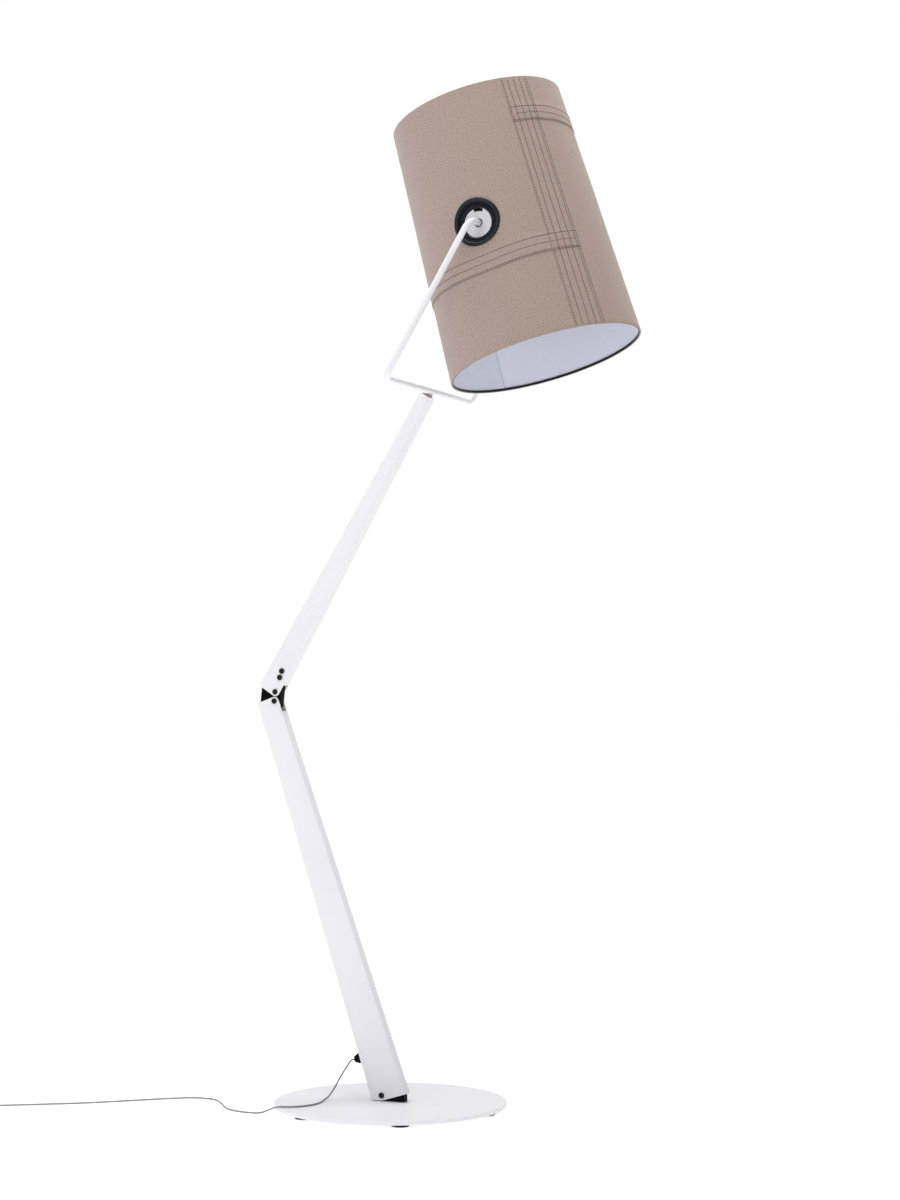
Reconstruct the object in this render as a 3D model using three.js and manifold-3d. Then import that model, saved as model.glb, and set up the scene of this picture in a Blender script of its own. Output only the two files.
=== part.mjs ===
// Adjustable arm floor lamp: a round steel base, two tapered arms joined by a double-pivot knee,
// and a bent rod fork that carries a conical fabric shade between its ends.
// Millimetres, +Z up. The origin is the centre of the base on the floor. The arms lean in the XZ plane.
import * as THREE from "three";
import { mergeVertices } from "three/addons/utils/BufferGeometryUtils.js";
import Module from "manifold-3d";

const wasm = await Module();
wasm.setup();

// ---- driving dimensions ----------------------------------------------------------------
const GAP = 0.3; // left between pieces that touch
const rad = THREE.MathUtils.degToRad;

const BASE = { radius: 190, bottom: 4.5, top: 11, chamfer: 1 };
const FOOT = { radius: 14, pitchRadius: 169, count: 6, firstAngle: -60 };
const CENTRE_PAD_RADIUS = 35;

const ARM_THICKNESS = 20.4;
const ARM_WALL = 1.8;
const LOWER = {
  pivot: { x: -11.3, z: 20.6 },
  lean: 17.2,
  length: 672.5,
  back: [20.2, 31], // distance from the pin line to the back edge, at the base and at the knee
  front: [41.1, 7.2],
};
const UPPER = { lean: 29.4, length: 566, back: [31.2, 8.6], front: [7.2, 10], cutTop: 557.5 };
const FOOT_CLEARANCE = 8.4; // from the base pivot down to the arm's two bottom facets
const EAR_RADIUS = 7.2;
const KNEE_FACET = 3; // degrees that the arms' outer end facets fall away from square
const WEB_SETBACK = { lower: 20, upper: 16.5 }; // the front webs stop this far short of the knee pins
const PIN_SPACING = 15.4;
const LINK = { back: 27.5, front: 9.3, reach: 22.3 };
const LINK_THICKNESS = 14.2;
const WASHER = { inner: 3.4, outer: 7, thickness: 0.7 };
const BOLT = { shaft: 3, hole: 3.3, head: 4.7, headHeight: 2.2, socket: 1.7 };
const CLAMP_SCREWS = [
  { s: 25.2, n: -4.3 },
  { s: 36.4, n: -6.1 },
];

const FORK = { tilt: 31.15, length: 281.6, width: 350, rod: 5, bend: 18, end: 127.8, stem: 5 };
const SHADE = {
  tilt: -16.55,
  height: 426.7,
  belowPivot: 208.5,
  bottomRadius: 158.8,
  topRadius: 140.9,
  fabric: 1.2,
  lining: 0.7,
};
const GROMMET = { hole: 36, inner: 23.6, lip: 38.7 };
const HUB = {
  radius: 22.8,
  outer: 142,
  inner: 136,
  rim: 1.9,
  dish: 1.5,
  mouth: 8,
  mouthDepth: 3,
  boss: 12,
  bossEnd: 124,
  bore: 5.4,
  boreEnd: 127.4,
};
const BRIDGE_ROD = 4;
const HOLDER = { radius: 19, wall: 3.5, length: 58 };

const CORD = { radius: 1.4, sides: 8 };
const GLAND = { s: 67, length: 12, flange: 9, flangeDepth: 4.2, nose: 5.7 };
const COIL = { x: -762, y: -292, radius: 29, width: 8.4, height: 5.6 };
const SWITCH = { length: 78, width: 34, height: 20, split: 12, button: 11, travel: 1.5 };

// ---- materials -------------------------------------------------------------------------
const LOOKS = {
  paint: { color: 0xebebef, roughness: 0.5, metalness: 0 },
  black: { color: 0x1b1b1d, roughness: 0.55, metalness: 0 },
  steel: { color: 0xb8b8bb, roughness: 0.35, metalness: 1 },
  rubber: { color: 0x161617, roughness: 0.8, metalness: 0 },
  washer: { color: 0x6e2f24, roughness: 0.7, metalness: 0 },
  fabric: { color: 0xb3a493, roughness: 0.95, metalness: 0 },
  lining: { color: 0xe9ecf0, roughness: 0.6, metalness: 0 },
  cord: { color: 0xa9a9ab, roughness: 0.5, metalness: 0 },
  grey: { color: 0x9b9b9e, roughness: 0.5, metalness: 0 },
  bulb: { color: 0xf4f1e6, roughness: 0.2, metalness: 0 },
};

// ---- solids ----------------------------------------------------------------------------
function solidOf(geometry) {
  const bare = new THREE.BufferGeometry();
  bare.setAttribute("position", geometry.getAttribute("position"));
  bare.setIndex(geometry.index);
  const merged = mergeVertices(bare, 1e-3);
  const mesh = new wasm.Mesh({
    numProp: 3,
    vertProperties: merged.attributes.position.array,
    triVerts: new Uint32Array(merged.index.array),
  });
  return new wasm.Manifold(mesh);
}

function geometryOf(solid) {
  const mesh = solid.getMesh();
  const geometry = new THREE.BufferGeometry();
  geometry.setAttribute("position", new THREE.BufferAttribute(mesh.vertProperties, 3));
  geometry.setIndex(new THREE.BufferAttribute(mesh.triVerts, 1));
  return geometry;
}

function cut(geometry, ...tools) {
  return geometryOf(tools.reduce((body, tool) => body.subtract(solidOf(tool)), solidOf(geometry)));
}

function join(geometry, ...others) {
  return geometryOf(others.reduce((body, other) => body.add(solidOf(other)), solidOf(geometry)));
}

// A side profile of [x, z] points, extruded along Y and centred on y = 0.
function plate(points, thickness) {
  const shape = new THREE.Shape(points.map(([x, z]) => new THREE.Vector2(x, z)));
  const geometry = new THREE.ExtrudeGeometry(shape, { depth: thickness, bevelEnabled: false });
  return geometry.rotateX(Math.PI / 2).translate(0, thickness / 2, 0);
}

// A profile of [radius, height] points turned about Z, listed anticlockwise with the radius to the right.
function turned(points, segments) {
  const profile = points.map(([r, z]) => new THREE.Vector2(r, z));
  return new THREE.LatheGeometry(profile, segments).rotateX(Math.PI / 2);
}

function closedTurned(points, segments) {
  return turned([...points, points[0]], segments);
}

// A round bar along Z from z = low to z = high, with its edges chamfered.
function bar(radius, low, high, segments = 20, chamfer = 0) {
  if (!chamfer) {
    return turned([[0, low], [radius, low], [radius, high], [0, high]], segments);
  }
  const corners = [
    [0, low],
    [radius - chamfer, low],
    [radius, low + chamfer],
    [radius, high - chamfer],
    [radius - chamfer, high],
    [0, high],
  ];
  return turned(corners, segments);
}

// The same bar along Y.
function barY(radius, low, high, segments = 20, chamfer = 0) {
  return bar(radius, -high, -low, segments, chamfer).rotateX(Math.PI / 2);
}

function ring(inner, outer, low, high, segments = 24) {
  return closedTurned([[inner, low], [outer, low], [outer, high], [inner, high]], segments);
}

function arc(cx, cz, radius, from, to, steps) {
  return Array.from({ length: steps + 1 }, (_, i) => {
    const angle = rad(from + ((to - from) * i) / steps);
    return [cx + radius * Math.cos(angle), cz + radius * Math.sin(angle)];
  });
}

// A path whose sections fall exactly on the given points.
class Through extends THREE.Curve {
  constructor(points) {
    super();
    this.points = points;
  }
  getPoint(t, target = new THREE.Vector3()) {
    const at = t * (this.points.length - 1);
    const i = Math.min(Math.floor(at), this.points.length - 2);
    return target.lerpVectors(this.points[i], this.points[i + 1], at - i);
  }
  getPointAt(t, target) {
    return this.getPoint(t, target);
  }
  getTangentAt(t, target = new THREE.Vector3()) {
    const last = this.points.length - 1;
    const i = Math.round(t * last);
    const before = this.points[Math.max(i - 1, 0)];
    const after = this.points[Math.min(i + 1, last)];
    const a = new THREE.Vector3().subVectors(this.points[Math.min(i + 1, last)], this.points[i]);
    const b = new THREE.Vector3().subVectors(this.points[i], before);
    if (i === 0 || i === last) {
      return target.subVectors(after, before).normalize();
    }
    return target.copy(a.normalize()).add(b.normalize()).normalize();
  }
}

function swept(points, radius, sides) {
  const section = new THREE.Shape();
  for (let i = 0; i < sides; i++) {
    const angle = (2 * Math.PI * i) / sides;
    section[i ? "lineTo" : "moveTo"](radius * Math.cos(angle), radius * Math.sin(angle));
  }
  section.closePath();
  const options = { steps: points.length - 1, bevelEnabled: false, extrudePath: new Through(points) };
  return new THREE.ExtrudeGeometry(section, options);
}

// ---- the scene graph -------------------------------------------------------------------
const lamp = new THREE.Group();

function frame(parent, x, z, lean) {
  const group = new THREE.Group();
  group.position.set(x, 0, z);
  group.rotation.y = rad(lean);
  parent.add(group);
  return group;
}

function place(parent, name, geometry, look) {
  const mesh = new THREE.Mesh(geometry, new THREE.MeshStandardMaterial(LOOKS[look]));
  mesh.name = name;
  parent.add(mesh);
  return mesh;
}

function along(start, lean, distance) {
  return {
    x: start.x + distance * Math.sin(rad(lean)),
    z: start.z + distance * Math.cos(rad(lean)),
  };
}

const linkLean = (UPPER.lean - LOWER.lean) / 2;
const kneeLow = along(LOWER.pivot, -LOWER.lean, LOWER.length);
const kneeMid = along(kneeLow, linkLean, PIN_SPACING / 2);
const kneeHigh = along(kneeLow, linkLean, PIN_SPACING);
const crossbar = along(kneeHigh, UPPER.lean, UPPER.length);
const shadePivot = along(crossbar, FORK.tilt, FORK.length);

const lowerArm = frame(lamp, LOWER.pivot.x, LOWER.pivot.z, -LOWER.lean);
const link = frame(lamp, kneeMid.x, kneeMid.z, linkLean);
const upperArm = frame(lamp, kneeHigh.x, kneeHigh.z, UPPER.lean);
const fork = frame(lamp, crossbar.x, crossbar.z, FORK.tilt);
const shade = frame(lamp, shadePivot.x, shadePivot.z, SHADE.tilt);

// ---- base ------------------------------------------------------------------------------
const bracketScrewX = [LOWER.pivot.x, LOWER.pivot.x + 28];

function baseDisc() {
  const { radius, bottom, top, chamfer } = BASE;
  const profile = [
    [0, bottom],
    [radius - chamfer, bottom],
    [radius, bottom + chamfer],
    [radius, top - chamfer],
    [radius - chamfer, top],
    [0, top],
  ];
  const holes = bracketScrewX.flatMap((x) => [
    bar(2.8, 0, 20, 16).translate(x, 0, 0),
    bar(5.4, 0, bottom + 3.8, 16).translate(x, 0, 0),
  ]);
  return cut(turned(profile, 80), ...holes);
}

function buildBase() {
  place(lamp, "base_disc", baseDisc(), "paint");
  const padTop = BASE.bottom - GAP;
  for (let i = 0; i < FOOT.count; i++) {
    const angle = rad(FOOT.firstAngle + (360 / FOOT.count) * i);
    const foot = bar(FOOT.radius, 0, padTop, 20, 0.5);
    foot.translate(FOOT.pitchRadius * Math.cos(angle), FOOT.pitchRadius * Math.sin(angle), 0);
    place(lamp, `rubber_foot_${i + 1}`, foot, "rubber");
  }
  place(lamp, "centre_pad", bar(CENTRE_PAD_RADIUS, 0, padTop, 32, 0.5), "rubber");

  const { x, z } = LOWER.pivot;
  const low = BASE.top + GAP - z;
  const block = plate(
    [
      [-14, low],
      [38.3, low],
      [38.3, 1.7],
      [22, 3.6],
      ...arc(0, 0, 9, 45, 150, 8),
      [-14, -2],
    ],
    LINK_THICKNESS,
  ).translate(x, 0, z);
  const bores = bracketScrewX.map((at) => bar(2.3, 0, BASE.top + 6, 12).translate(at, 0, 0));
  const pinBore = barY(BOLT.hole, -20, 20).translate(x, 0, z);
  place(lamp, "hinge_bracket", cut(block, pinBore, ...bores), "black");
  bracketScrewX.forEach((at, i) => {
    const screw = join(bar(2, BASE.bottom + 1, BASE.top + 5, 12), bar(4.8, BASE.bottom + 0.4, BASE.bottom + 3.4, 16));
    place(lamp, `bracket_screw_${i + 1}`, screw.translate(at, 0, 0), "steel");
  });
}

// ---- pivots ----------------------------------------------------------------------------
// A shoulder bolt across the arm with a hexagon socket, and the cap nut on its far side.
function addPivot(parent, prefix, z) {
  const face = ARM_THICKNESS / 2 + GAP;
  const head = barY(BOLT.head, -face - BOLT.headHeight, -face, 24, 0.5);
  const bolt = join(head, barY(BOLT.shaft, -face - 0.5, face - 0.2, 16));
  const socket = barY(BOLT.socket, -face - 5, -face - BOLT.headHeight + 1.3, 6);
  place(parent, `${prefix}_bolt`, cut(bolt, socket).translate(0, 0, z), "black");
  const nut = barY(BOLT.head, face, face + BOLT.headHeight, 24, 0.5);
  place(parent, `${prefix}_nut`, nut.translate(0, 0, z), "black");
}

function addWashers(parent, prefix, z) {
  const inner = LINK_THICKNESS / 2 + GAP;
  for (const [side, sign] of [["near", -1], ["far", 1]]) {
    const washer = ring(WASHER.inner, WASHER.outer, inner, inner + WASHER.thickness);
    washer.rotateX((-sign * Math.PI) / 2).translate(0, 0, z);
    place(parent, `${prefix}_washer_${side}`, washer, "rubber");
  }
}

// ---- arms ------------------------------------------------------------------------------
function mix([start, end], share) {
  return start + (end - start) * share;
}

// The end that meets the knee, for an arm that points up from it. The ear is round about the pin, and
// the end facet runs from the ear's top to the back edge.
function kneeEnd(backAtPin) {
  const fall = rad(KNEE_FACET);
  const corner = EAR_RADIUS * Math.cos(fall) - (backAtPin - EAR_RADIUS * Math.sin(fall)) * Math.tan(fall);
  return [[-backAtPin, -corner], ...arc(0, 0, EAR_RADIUS, 270 - KNEE_FACET, 360, 10)];
}

function lowerShell() {
  const { length, back, front, lean } = LOWER;
  const backAt = (s) => -mix(back, s / length);
  const frontAt = (s) => mix(front, s / length);
  const slope = Math.tan(rad(lean));
  const leftFacet = (n) => -FOOT_CLEARANCE / Math.cos(rad(lean)) - n * slope;
  const tip = (FOOT_CLEARANCE - FOOT_CLEARANCE / Math.cos(rad(lean))) / slope;
  const top = kneeEnd(back[1]).map(([n, s]) => [n, length - s]);
  const outline = [
    [backAt(0), leftFacet(backAt(0))],
    ...top,
    [frontAt(length - 30), length - 30],
    [frontAt(-FOOT_CLEARANCE), -FOOT_CLEARANCE],
    [tip, -FOOT_CLEARANCE],
  ];
  const webEnd = length - WEB_SETBACK.lower;
  const hollow = [
    [backAt(-60) + ARM_WALL, -60],
    [frontAt(0) - ARM_WALL, -60],
    [frontAt(0) - ARM_WALL, 0],
    [frontAt(webEnd) - ARM_WALL, webEnd],
    [frontAt(webEnd) + 20, webEnd],
    [frontAt(webEnd) + 20, length + 60],
    [backAt(length + 60) + ARM_WALL, length + 60],
  ];
  const inside = ARM_THICKNESS - 2 * ARM_WALL;
  const glandHole = barY(GLAND.nose - 0.6, 0, 40, 16).rotateZ(Math.PI / 2).translate(0, 0, GLAND.s);
  return cut(
    plate(outline, ARM_THICKNESS),
    plate(hollow, inside),
    barY(BOLT.hole, -20, 20, 16),
    barY(BOLT.hole, -20, 20, 16).translate(0, 0, length),
    glandHole,
  );
}

function upperShell() {
  const { length, back, front, cutTop } = UPPER;
  const backAt = (s) => -mix(back, s / length);
  const frontAt = (s) => mix(front, s / length);
  const outline = [
    ...kneeEnd(back[0]),
    [frontAt(30), 30],
    [frontAt(cutTop), cutTop],
    [backAt(cutTop), cutTop],
  ];
  const hollow = [
    [backAt(-60) + ARM_WALL, -60],
    [frontAt(0) + 20, -60],
    [frontAt(0) + 20, WEB_SETBACK.upper],
    [frontAt(WEB_SETBACK.upper) - ARM_WALL, WEB_SETBACK.upper],
    [frontAt(cutTop) - ARM_WALL, cutTop + 20],
    [backAt(cutTop) + ARM_WALL, cutTop + 20],
  ];
  const screwHoles = CLAMP_SCREWS.map(({ s, n }) => barY(2.4, -20, 0, 12).translate(n, 0, s));
  const inside = ARM_THICKNESS - 2 * ARM_WALL;
  return cut(
    plate(outline, ARM_THICKNESS),
    plate(hollow, inside),
    barY(BOLT.hole, -20, 20, 16),
    ...screwHoles,
  );
}

function buildLowerArm() {
  const { length, back } = LOWER;
  place(lowerArm, "lower_arm_shell", lowerShell(), "paint");
  addPivot(lowerArm, "base_pivot", 0);
  addWashers(lowerArm, "base_pivot", 0);
  addPivot(lowerArm, "knee_lower", length);
  addWashers(lowerArm, "knee_lower", length);

  // The gland stands square on the back face, and its nose holds the cord.
  const face = mix(back, GLAND.s / length) + GAP;
  const profile = [
    [CORD.radius + GAP, -6],
    [GLAND.nose - 1, -6],
    [GLAND.nose - 1, 0],
    [GLAND.flange, 0],
    [GLAND.flange, GLAND.flangeDepth],
    [GLAND.nose, GLAND.length],
    [CORD.radius + GAP, GLAND.length],
  ];
  const gland = closedTurned(profile, 20).rotateY(-Math.PI / 2).translate(-face, 0, GLAND.s);
  place(lowerArm, "cord_gland", gland, "black");

  const lead = [
    [-face + 7, GLAND.s],
    [-11, GLAND.s + 4],
    [-3, GLAND.s + 18],
    [0, GLAND.s + 50],
    [-6, length / 2],
    [-13, length - 60],
    [-13, length - 27],
  ];
  place(lowerArm, "lead_lower", leadTube(lead, 24), "cord");
}

function leadTube(points, steps) {
  const nodes = points.map(([n, s]) => new THREE.Vector3(n, 0, s));
  const path = new THREE.CatmullRomCurve3(nodes, false, "centripetal");
  return swept(path.getSpacedPoints(steps), CORD.radius, 8);
}

function buildLink() {
  const half = PIN_SPACING / 2;
  const { back, front, reach } = LINK;
  const lower = [
    [-back, -half - 4],
    [2.2 - back, -half - 8.5],
    ...arc(0, -half, reach, 207, 270, 7),
    [3.4, -half - 20.5],
    [4.9, -half - 16.2],
    [front - 0.5, -half - 8],
    [front, -half],
  ];
  const upper = lower.map(([p, q]) => [p, -q]).reverse();
  const block = plate([...lower, ...upper], LINK_THICKNESS);
  const channel = new THREE.BoxGeometry(7, 7, 80).translate(-13, 0, 0);
  const bores = [-half, half].map((q) => barY(BOLT.hole, -20, 20, 16).translate(0, 0, q));
  place(link, "knee_link", cut(block, channel, ...bores), "black");
  place(link, "lead_knee", leadTube([[-13, -26], [-13.5, 0], [-13, 26]], 6), "cord");
}

function buildUpperArm() {
  const { length, cutTop, back, front } = UPPER;
  place(upperArm, "upper_arm_shell", upperShell(), "paint");
  addPivot(upperArm, "knee_upper", 0);
  addWashers(upperArm, "knee_upper", 0);

  // A friction block screwed to the near wall just above the knee.
  const inside = ARM_THICKNESS / 2 - ARM_WALL - GAP;
  const block = plate([[-10.5, 32.5], [-8, 24], [3.5, 22.4], [3.5, 43], [-10.5, 43]], 2 * inside);
  const bores = CLAMP_SCREWS.map(({ s, n }) => barY(2.3, -20, 5.5, 12).translate(n, 0, s));
  place(upperArm, "friction_block", cut(block, ...bores), "black");
  const face = ARM_THICKNESS / 2 + GAP;
  CLAMP_SCREWS.forEach(({ s, n }, i) => {
    const head = barY(BOLT.head, -face - BOLT.headHeight, -face, 24, 0.5);
    const screw = join(head, barY(2, -face - 0.5, 5, 12));
    const socket = barY(BOLT.socket, -face - 5, -face - BOLT.headHeight + 1.3, 6);
    place(upperArm, `friction_screw_${i + 1}`, cut(screw, socket).translate(n, 0, s), "black");
  });

  const middle = (mix(front, 1) - mix(back, 1)) / 2;
  const lead = [
    [-13, 27],
    [-16, 60],
    [-10, 300],
    [middle - 0.5, length - 80],
    [middle, length - 62],
  ];
  place(upperArm, "lead_upper", leadTube(lead, 20), "cord");

  // The swivel socket fills the arm's open top and carries the fork's stem.
  const socket = new THREE.BoxGeometry(14.2, 2 * inside, 40).translate(0, 0, cutTop - length - 20.5);
  const bore = bar(FORK.stem + 0.4, -80, 40, 24);
  const swivel = frame(lamp, crossbar.x, crossbar.z, FORK.tilt);
  place(swivel, "swivel_socket", cut(socket, bore), "black");
}

// ---- fork ------------------------------------------------------------------------------
function forkPath() {
  const { width, length, bend, end } = FORK;
  const half = width / 2;
  const corner = (cy, cz, from) =>
    arc(cy, cz, bend, from, from + 90, 6).map(([y, z]) => new THREE.Vector3(0, y, z));
  const right = [
    new THREE.Vector3(0, 9, 0),
    new THREE.Vector3(0, (half - bend) / 2, 0),
    ...corner(half - bend, bend, 270),
    new THREE.Vector3(0, half, length / 2),
    ...corner(half - bend, length - bend, 0),
    new THREE.Vector3(0, end, length),
  ];
  const left = right.map((p) => new THREE.Vector3(0, -p.y, p.z)).reverse();
  return [...left, ...right];
}

function buildFork() {
  const rod = swept(forkPath(), FORK.rod, 12);
  const stem = bar(FORK.stem, -56, 1, 20, 0.6);
  const groove = ring(FORK.stem - 1, FORK.stem + 2, -53.4, -51.8, 20);
  place(fork, "fork", cut(join(rod, stem), groove), "paint");
  const washerTop = -FORK.rod + 0.6;
  const washerLow = UPPER.cutTop - UPPER.length + GAP + 0.6;
  const washer = cut(
    ring(FORK.stem + GAP, 8.2, washerLow, washerTop - 0.2, 24),
    barY(FORK.rod + GAP, -20, 20, 20),
  );
  place(fork, "swivel_washer", washer, "washer");
  place(fork, "retaining_ring", ring(FORK.stem - 0.7, FORK.stem + 1.7, -53.1, -52.1, 20), "steel");
}

// ---- shade -----------------------------------------------------------------------------
const shadeSlope = (SHADE.topRadius - SHADE.bottomRadius) / SHADE.height;
const shadeLow = -SHADE.belowPivot;
const shadeHigh = SHADE.height - SHADE.belowPivot;

function shadeRadius(z) {
  return SHADE.bottomRadius + (z - shadeLow) * shadeSlope;
}

// A conical skin whose outer face lies inset from the shade's outer face.
function skin(inset, thickness, low, high, hole) {
  const wall = closedTurned(
    [
      [shadeRadius(low) - inset - thickness, low],
      [shadeRadius(low) - inset, low],
      [shadeRadius(high) - inset, high],
      [shadeRadius(high) - inset - thickness, high],
    ],
    72,
  );
  return cut(wall, barY(hole, -200, 200, 40));
}

// The lip of a grommet follows the curve of the shade, and its middle is flat.
function grommet(sign) {
  const { inner, lip, hole } = GROMMET;
  const neck = hole - GAP;
  const face = shadeRadius(0);
  const profile = [
    [inner, HUB.inner + 2],
    [30, HUB.inner + 4],
    [neck, face - 4.5],
    [neck, face + GAP],
    [lip, face + GAP],
    [lip, face + 1.4],
    [neck, face + 2.2],
    [31, face - 1.6],
    [27, HUB.outer + 2.6],
    [inner, HUB.outer],
  ];
  const geometry = closedTurned(profile, 32).rotateX(Math.PI / 2);
  const position = geometry.getAttribute("position");
  for (let i = 0; i < position.count; i++) {
    const x = position.getX(i);
    const z = position.getZ(i);
    const share = THREE.MathUtils.smoothstep(Math.hypot(x, z), inner + 2, 31);
    const surface = Math.sqrt(shadeRadius(z) ** 2 - x ** 2);
    position.setY(i, position.getY(i) - share * (surface - face));
  }
  return sign < 0 ? geometry : geometry.rotateZ(Math.PI);
}

// A dished disc with a boss behind it. The fork's end turns in its bore.
function hub(sign) {
  const body = turned(
    [
      [0, HUB.bossEnd],
      [HUB.boss, HUB.bossEnd],
      [HUB.boss, HUB.inner],
      [HUB.radius, HUB.inner],
      [HUB.radius, HUB.outer - 0.8],
      [HUB.radius - 0.8, HUB.outer],
      [HUB.radius - HUB.rim, HUB.outer],
      [HUB.radius - HUB.rim, HUB.outer - HUB.dish],
      [0, HUB.outer - HUB.dish],
    ],
    32,
  );
  const bore = bar(HUB.bore, HUB.boreEnd, HUB.outer + 10, 20);
  const mouth = bar(HUB.mouth, HUB.outer - HUB.dish - HUB.mouthDepth, HUB.outer + 10, 24);
  return cut(body, bore, mouth).rotateX((-sign * Math.PI) / 2);
}

function wireRing(radius, z, wire) {
  const profile = arc(radius, z, wire, 0, 300, 5);
  return closedTurned(profile, 56);
}

function buildShade() {
  place(shade, "shade_fabric", skin(0, SHADE.fabric, shadeLow, shadeHigh, GROMMET.hole), "fabric");
  const liningInset = SHADE.fabric + GAP;
  const lining = skin(liningInset, SHADE.lining, shadeLow + 1, shadeHigh - 1, GROMMET.hole);
  place(shade, "shade_lining", lining, "lining");
  const wire = 1.6;
  const wireInset = liningInset + SHADE.lining + wire + GAP;
  for (const [name, z] of [["bottom_ring", shadeLow + 2.5], ["top_ring", shadeHigh - 2.5]]) {
    place(shade, name, wireRing(shadeRadius(z) - wireInset, z, wire), "black");
  }
  for (const [side, sign] of [["near", -1], ["far", 1]]) {
    place(shade, `grommet_${side}`, grommet(sign), "rubber");
    place(shade, `hub_${side}`, hub(sign), "paint");
  }

  // The bridge joins the hubs, and the lamp holder hangs from its middle.
  const reach = HUB.bossEnd - GAP;
  place(shade, "shade_bridge", barY(BRIDGE_ROD, -reach, reach, 14), "paint");
  const top = -BRIDGE_ROD - GAP;
  const { radius, wall, length } = HOLDER;
  const holder = turned(
    [
      [0, top - 10],
      [radius - wall, top - 10],
      [radius - wall, top - length],
      [radius, top - length],
      [radius, top - 6],
      [radius - 6, top],
      [0, top],
    ],
    28,
  );
  place(shade, "lamp_holder", holder, "black");
  const cap = bar(13.2, top - length + 6, top - 14, 24, 2);
  place(shade, "bulb_cap", cap, "steel");
  const neckTop = top - length + 6 - GAP;
  const centre = neckTop - 62;
  const envelope = [
    [0, centre - 30],
    ...arc(0, centre, 30, -78, 40, 9),
    [13.4, neckTop - 16],
    [12.6, neckTop],
    [0, neckTop],
  ];
  place(shade, "bulb_glass", turned(envelope, 28), "bulb");
}

// ---- mains cord ------------------------------------------------------------------------
// It leaves the gland, drops on to the base, runs over the base's edge and away along the floor.
const lying = CORD.radius + 0.1;
const glandNose = -(mix(LOWER.back, GLAND.s / LOWER.length) + GAP + GLAND.length + GAP);
const FLOOR_ROUTE = [
  [-124, -127, BASE.top + lying + 0.3],
  [-138, -132.2, BASE.top + lying],
  [-150, -135.6, 8.6],
  [-161, -137.6, 3.8],
  [-174, -139, lying],
  [-198, -139, lying],
  [-232, -125, lying],
  [-269, -82, lying],
  [-297, -54, lying],
  [-334, -51, lying],
  [-371, -74, lying],
  [-413, -111, lying],
  [-476, -166, lying],
  [-532, -204, lying],
  [-592, -242, lying],
  [-613, -252, lying],
];

function gland3(n, s) {
  const lean = rad(LOWER.lean);
  return [
    LOWER.pivot.x + n * Math.cos(lean) - s * Math.sin(lean),
    0,
    LOWER.pivot.z + n * Math.sin(lean) + s * Math.cos(lean),
  ];
}

const ROUTE = [
  gland3(glandNose, GLAND.s),
  gland3(glandNose - 8, GLAND.s),
  [-79.5, -4, 59],
  [-87, -9, 45],
  [-93, -19, 28],
  [-97, -32, 16.5],
  [-98, -48, BASE.top + lying + 0.6],
  [-94, -70, BASE.top + lying + 0.1],
  [-96, -92, BASE.top + lying],
  [-109, -115, BASE.top + lying],
  ...FLOOR_ROUTE,
];

function cordTube(route, step) {
  const points = route.map(([x, y, z]) => new THREE.Vector3(x, y, z));
  const path = new THREE.CatmullRomCurve3(points, false, "centripetal");
  return swept(path.getSpacedPoints(Math.round(path.getLength() / step)), CORD.radius, CORD.sides);
}

// A box with rounded vertical edges, centred on the Z axis.
function roundedBlock(length, width, corner, low, high) {
  const x = length / 2 - corner;
  const y = width / 2 - corner;
  const outline = [[x, y, 0], [-x, y, 90], [-x, -y, 180], [x, -y, 270]].flatMap(([cx, cy, from]) =>
    arc(cx, cy, corner, from, from + 90, 4),
  );
  const shape = new THREE.Shape(outline.map(([px, py]) => new THREE.Vector2(px, py)));
  const geometry = new THREE.ExtrudeGeometry(shape, { depth: high - low, bevelEnabled: false });
  return geometry.translate(0, 0, low);
}

function buildSwitch(x, y, heading) {
  const group = new THREE.Group();
  group.position.set(x, y, 0);
  group.rotation.z = heading;
  lamp.add(group);
  const { length, width, height, split, button, travel } = SWITCH;
  const through = bar(CORD.radius + 0.4, -60, 60, 10).rotateY(Math.PI / 2).translate(0, 0, lying + 1.5);
  const base = roundedBlock(length, width, 12, 0.1, split - GAP);
  const ends = [-1, 1].map((side) => through.clone().translate(side * (length / 2 + 54), 0, 0));
  const well = bar(button + 1, 6, 40, 28);
  place(group, "switch_base", cut(base, well, ...ends), "grey");
  place(group, "switch_cover", cut(roundedBlock(length, width, 12, split, height), well), "grey");
  const knob = bar(button, 6 + travel + GAP, height + 3, 28, 0.8);
  place(group, "switch_button", knob, "black");
}

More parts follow.
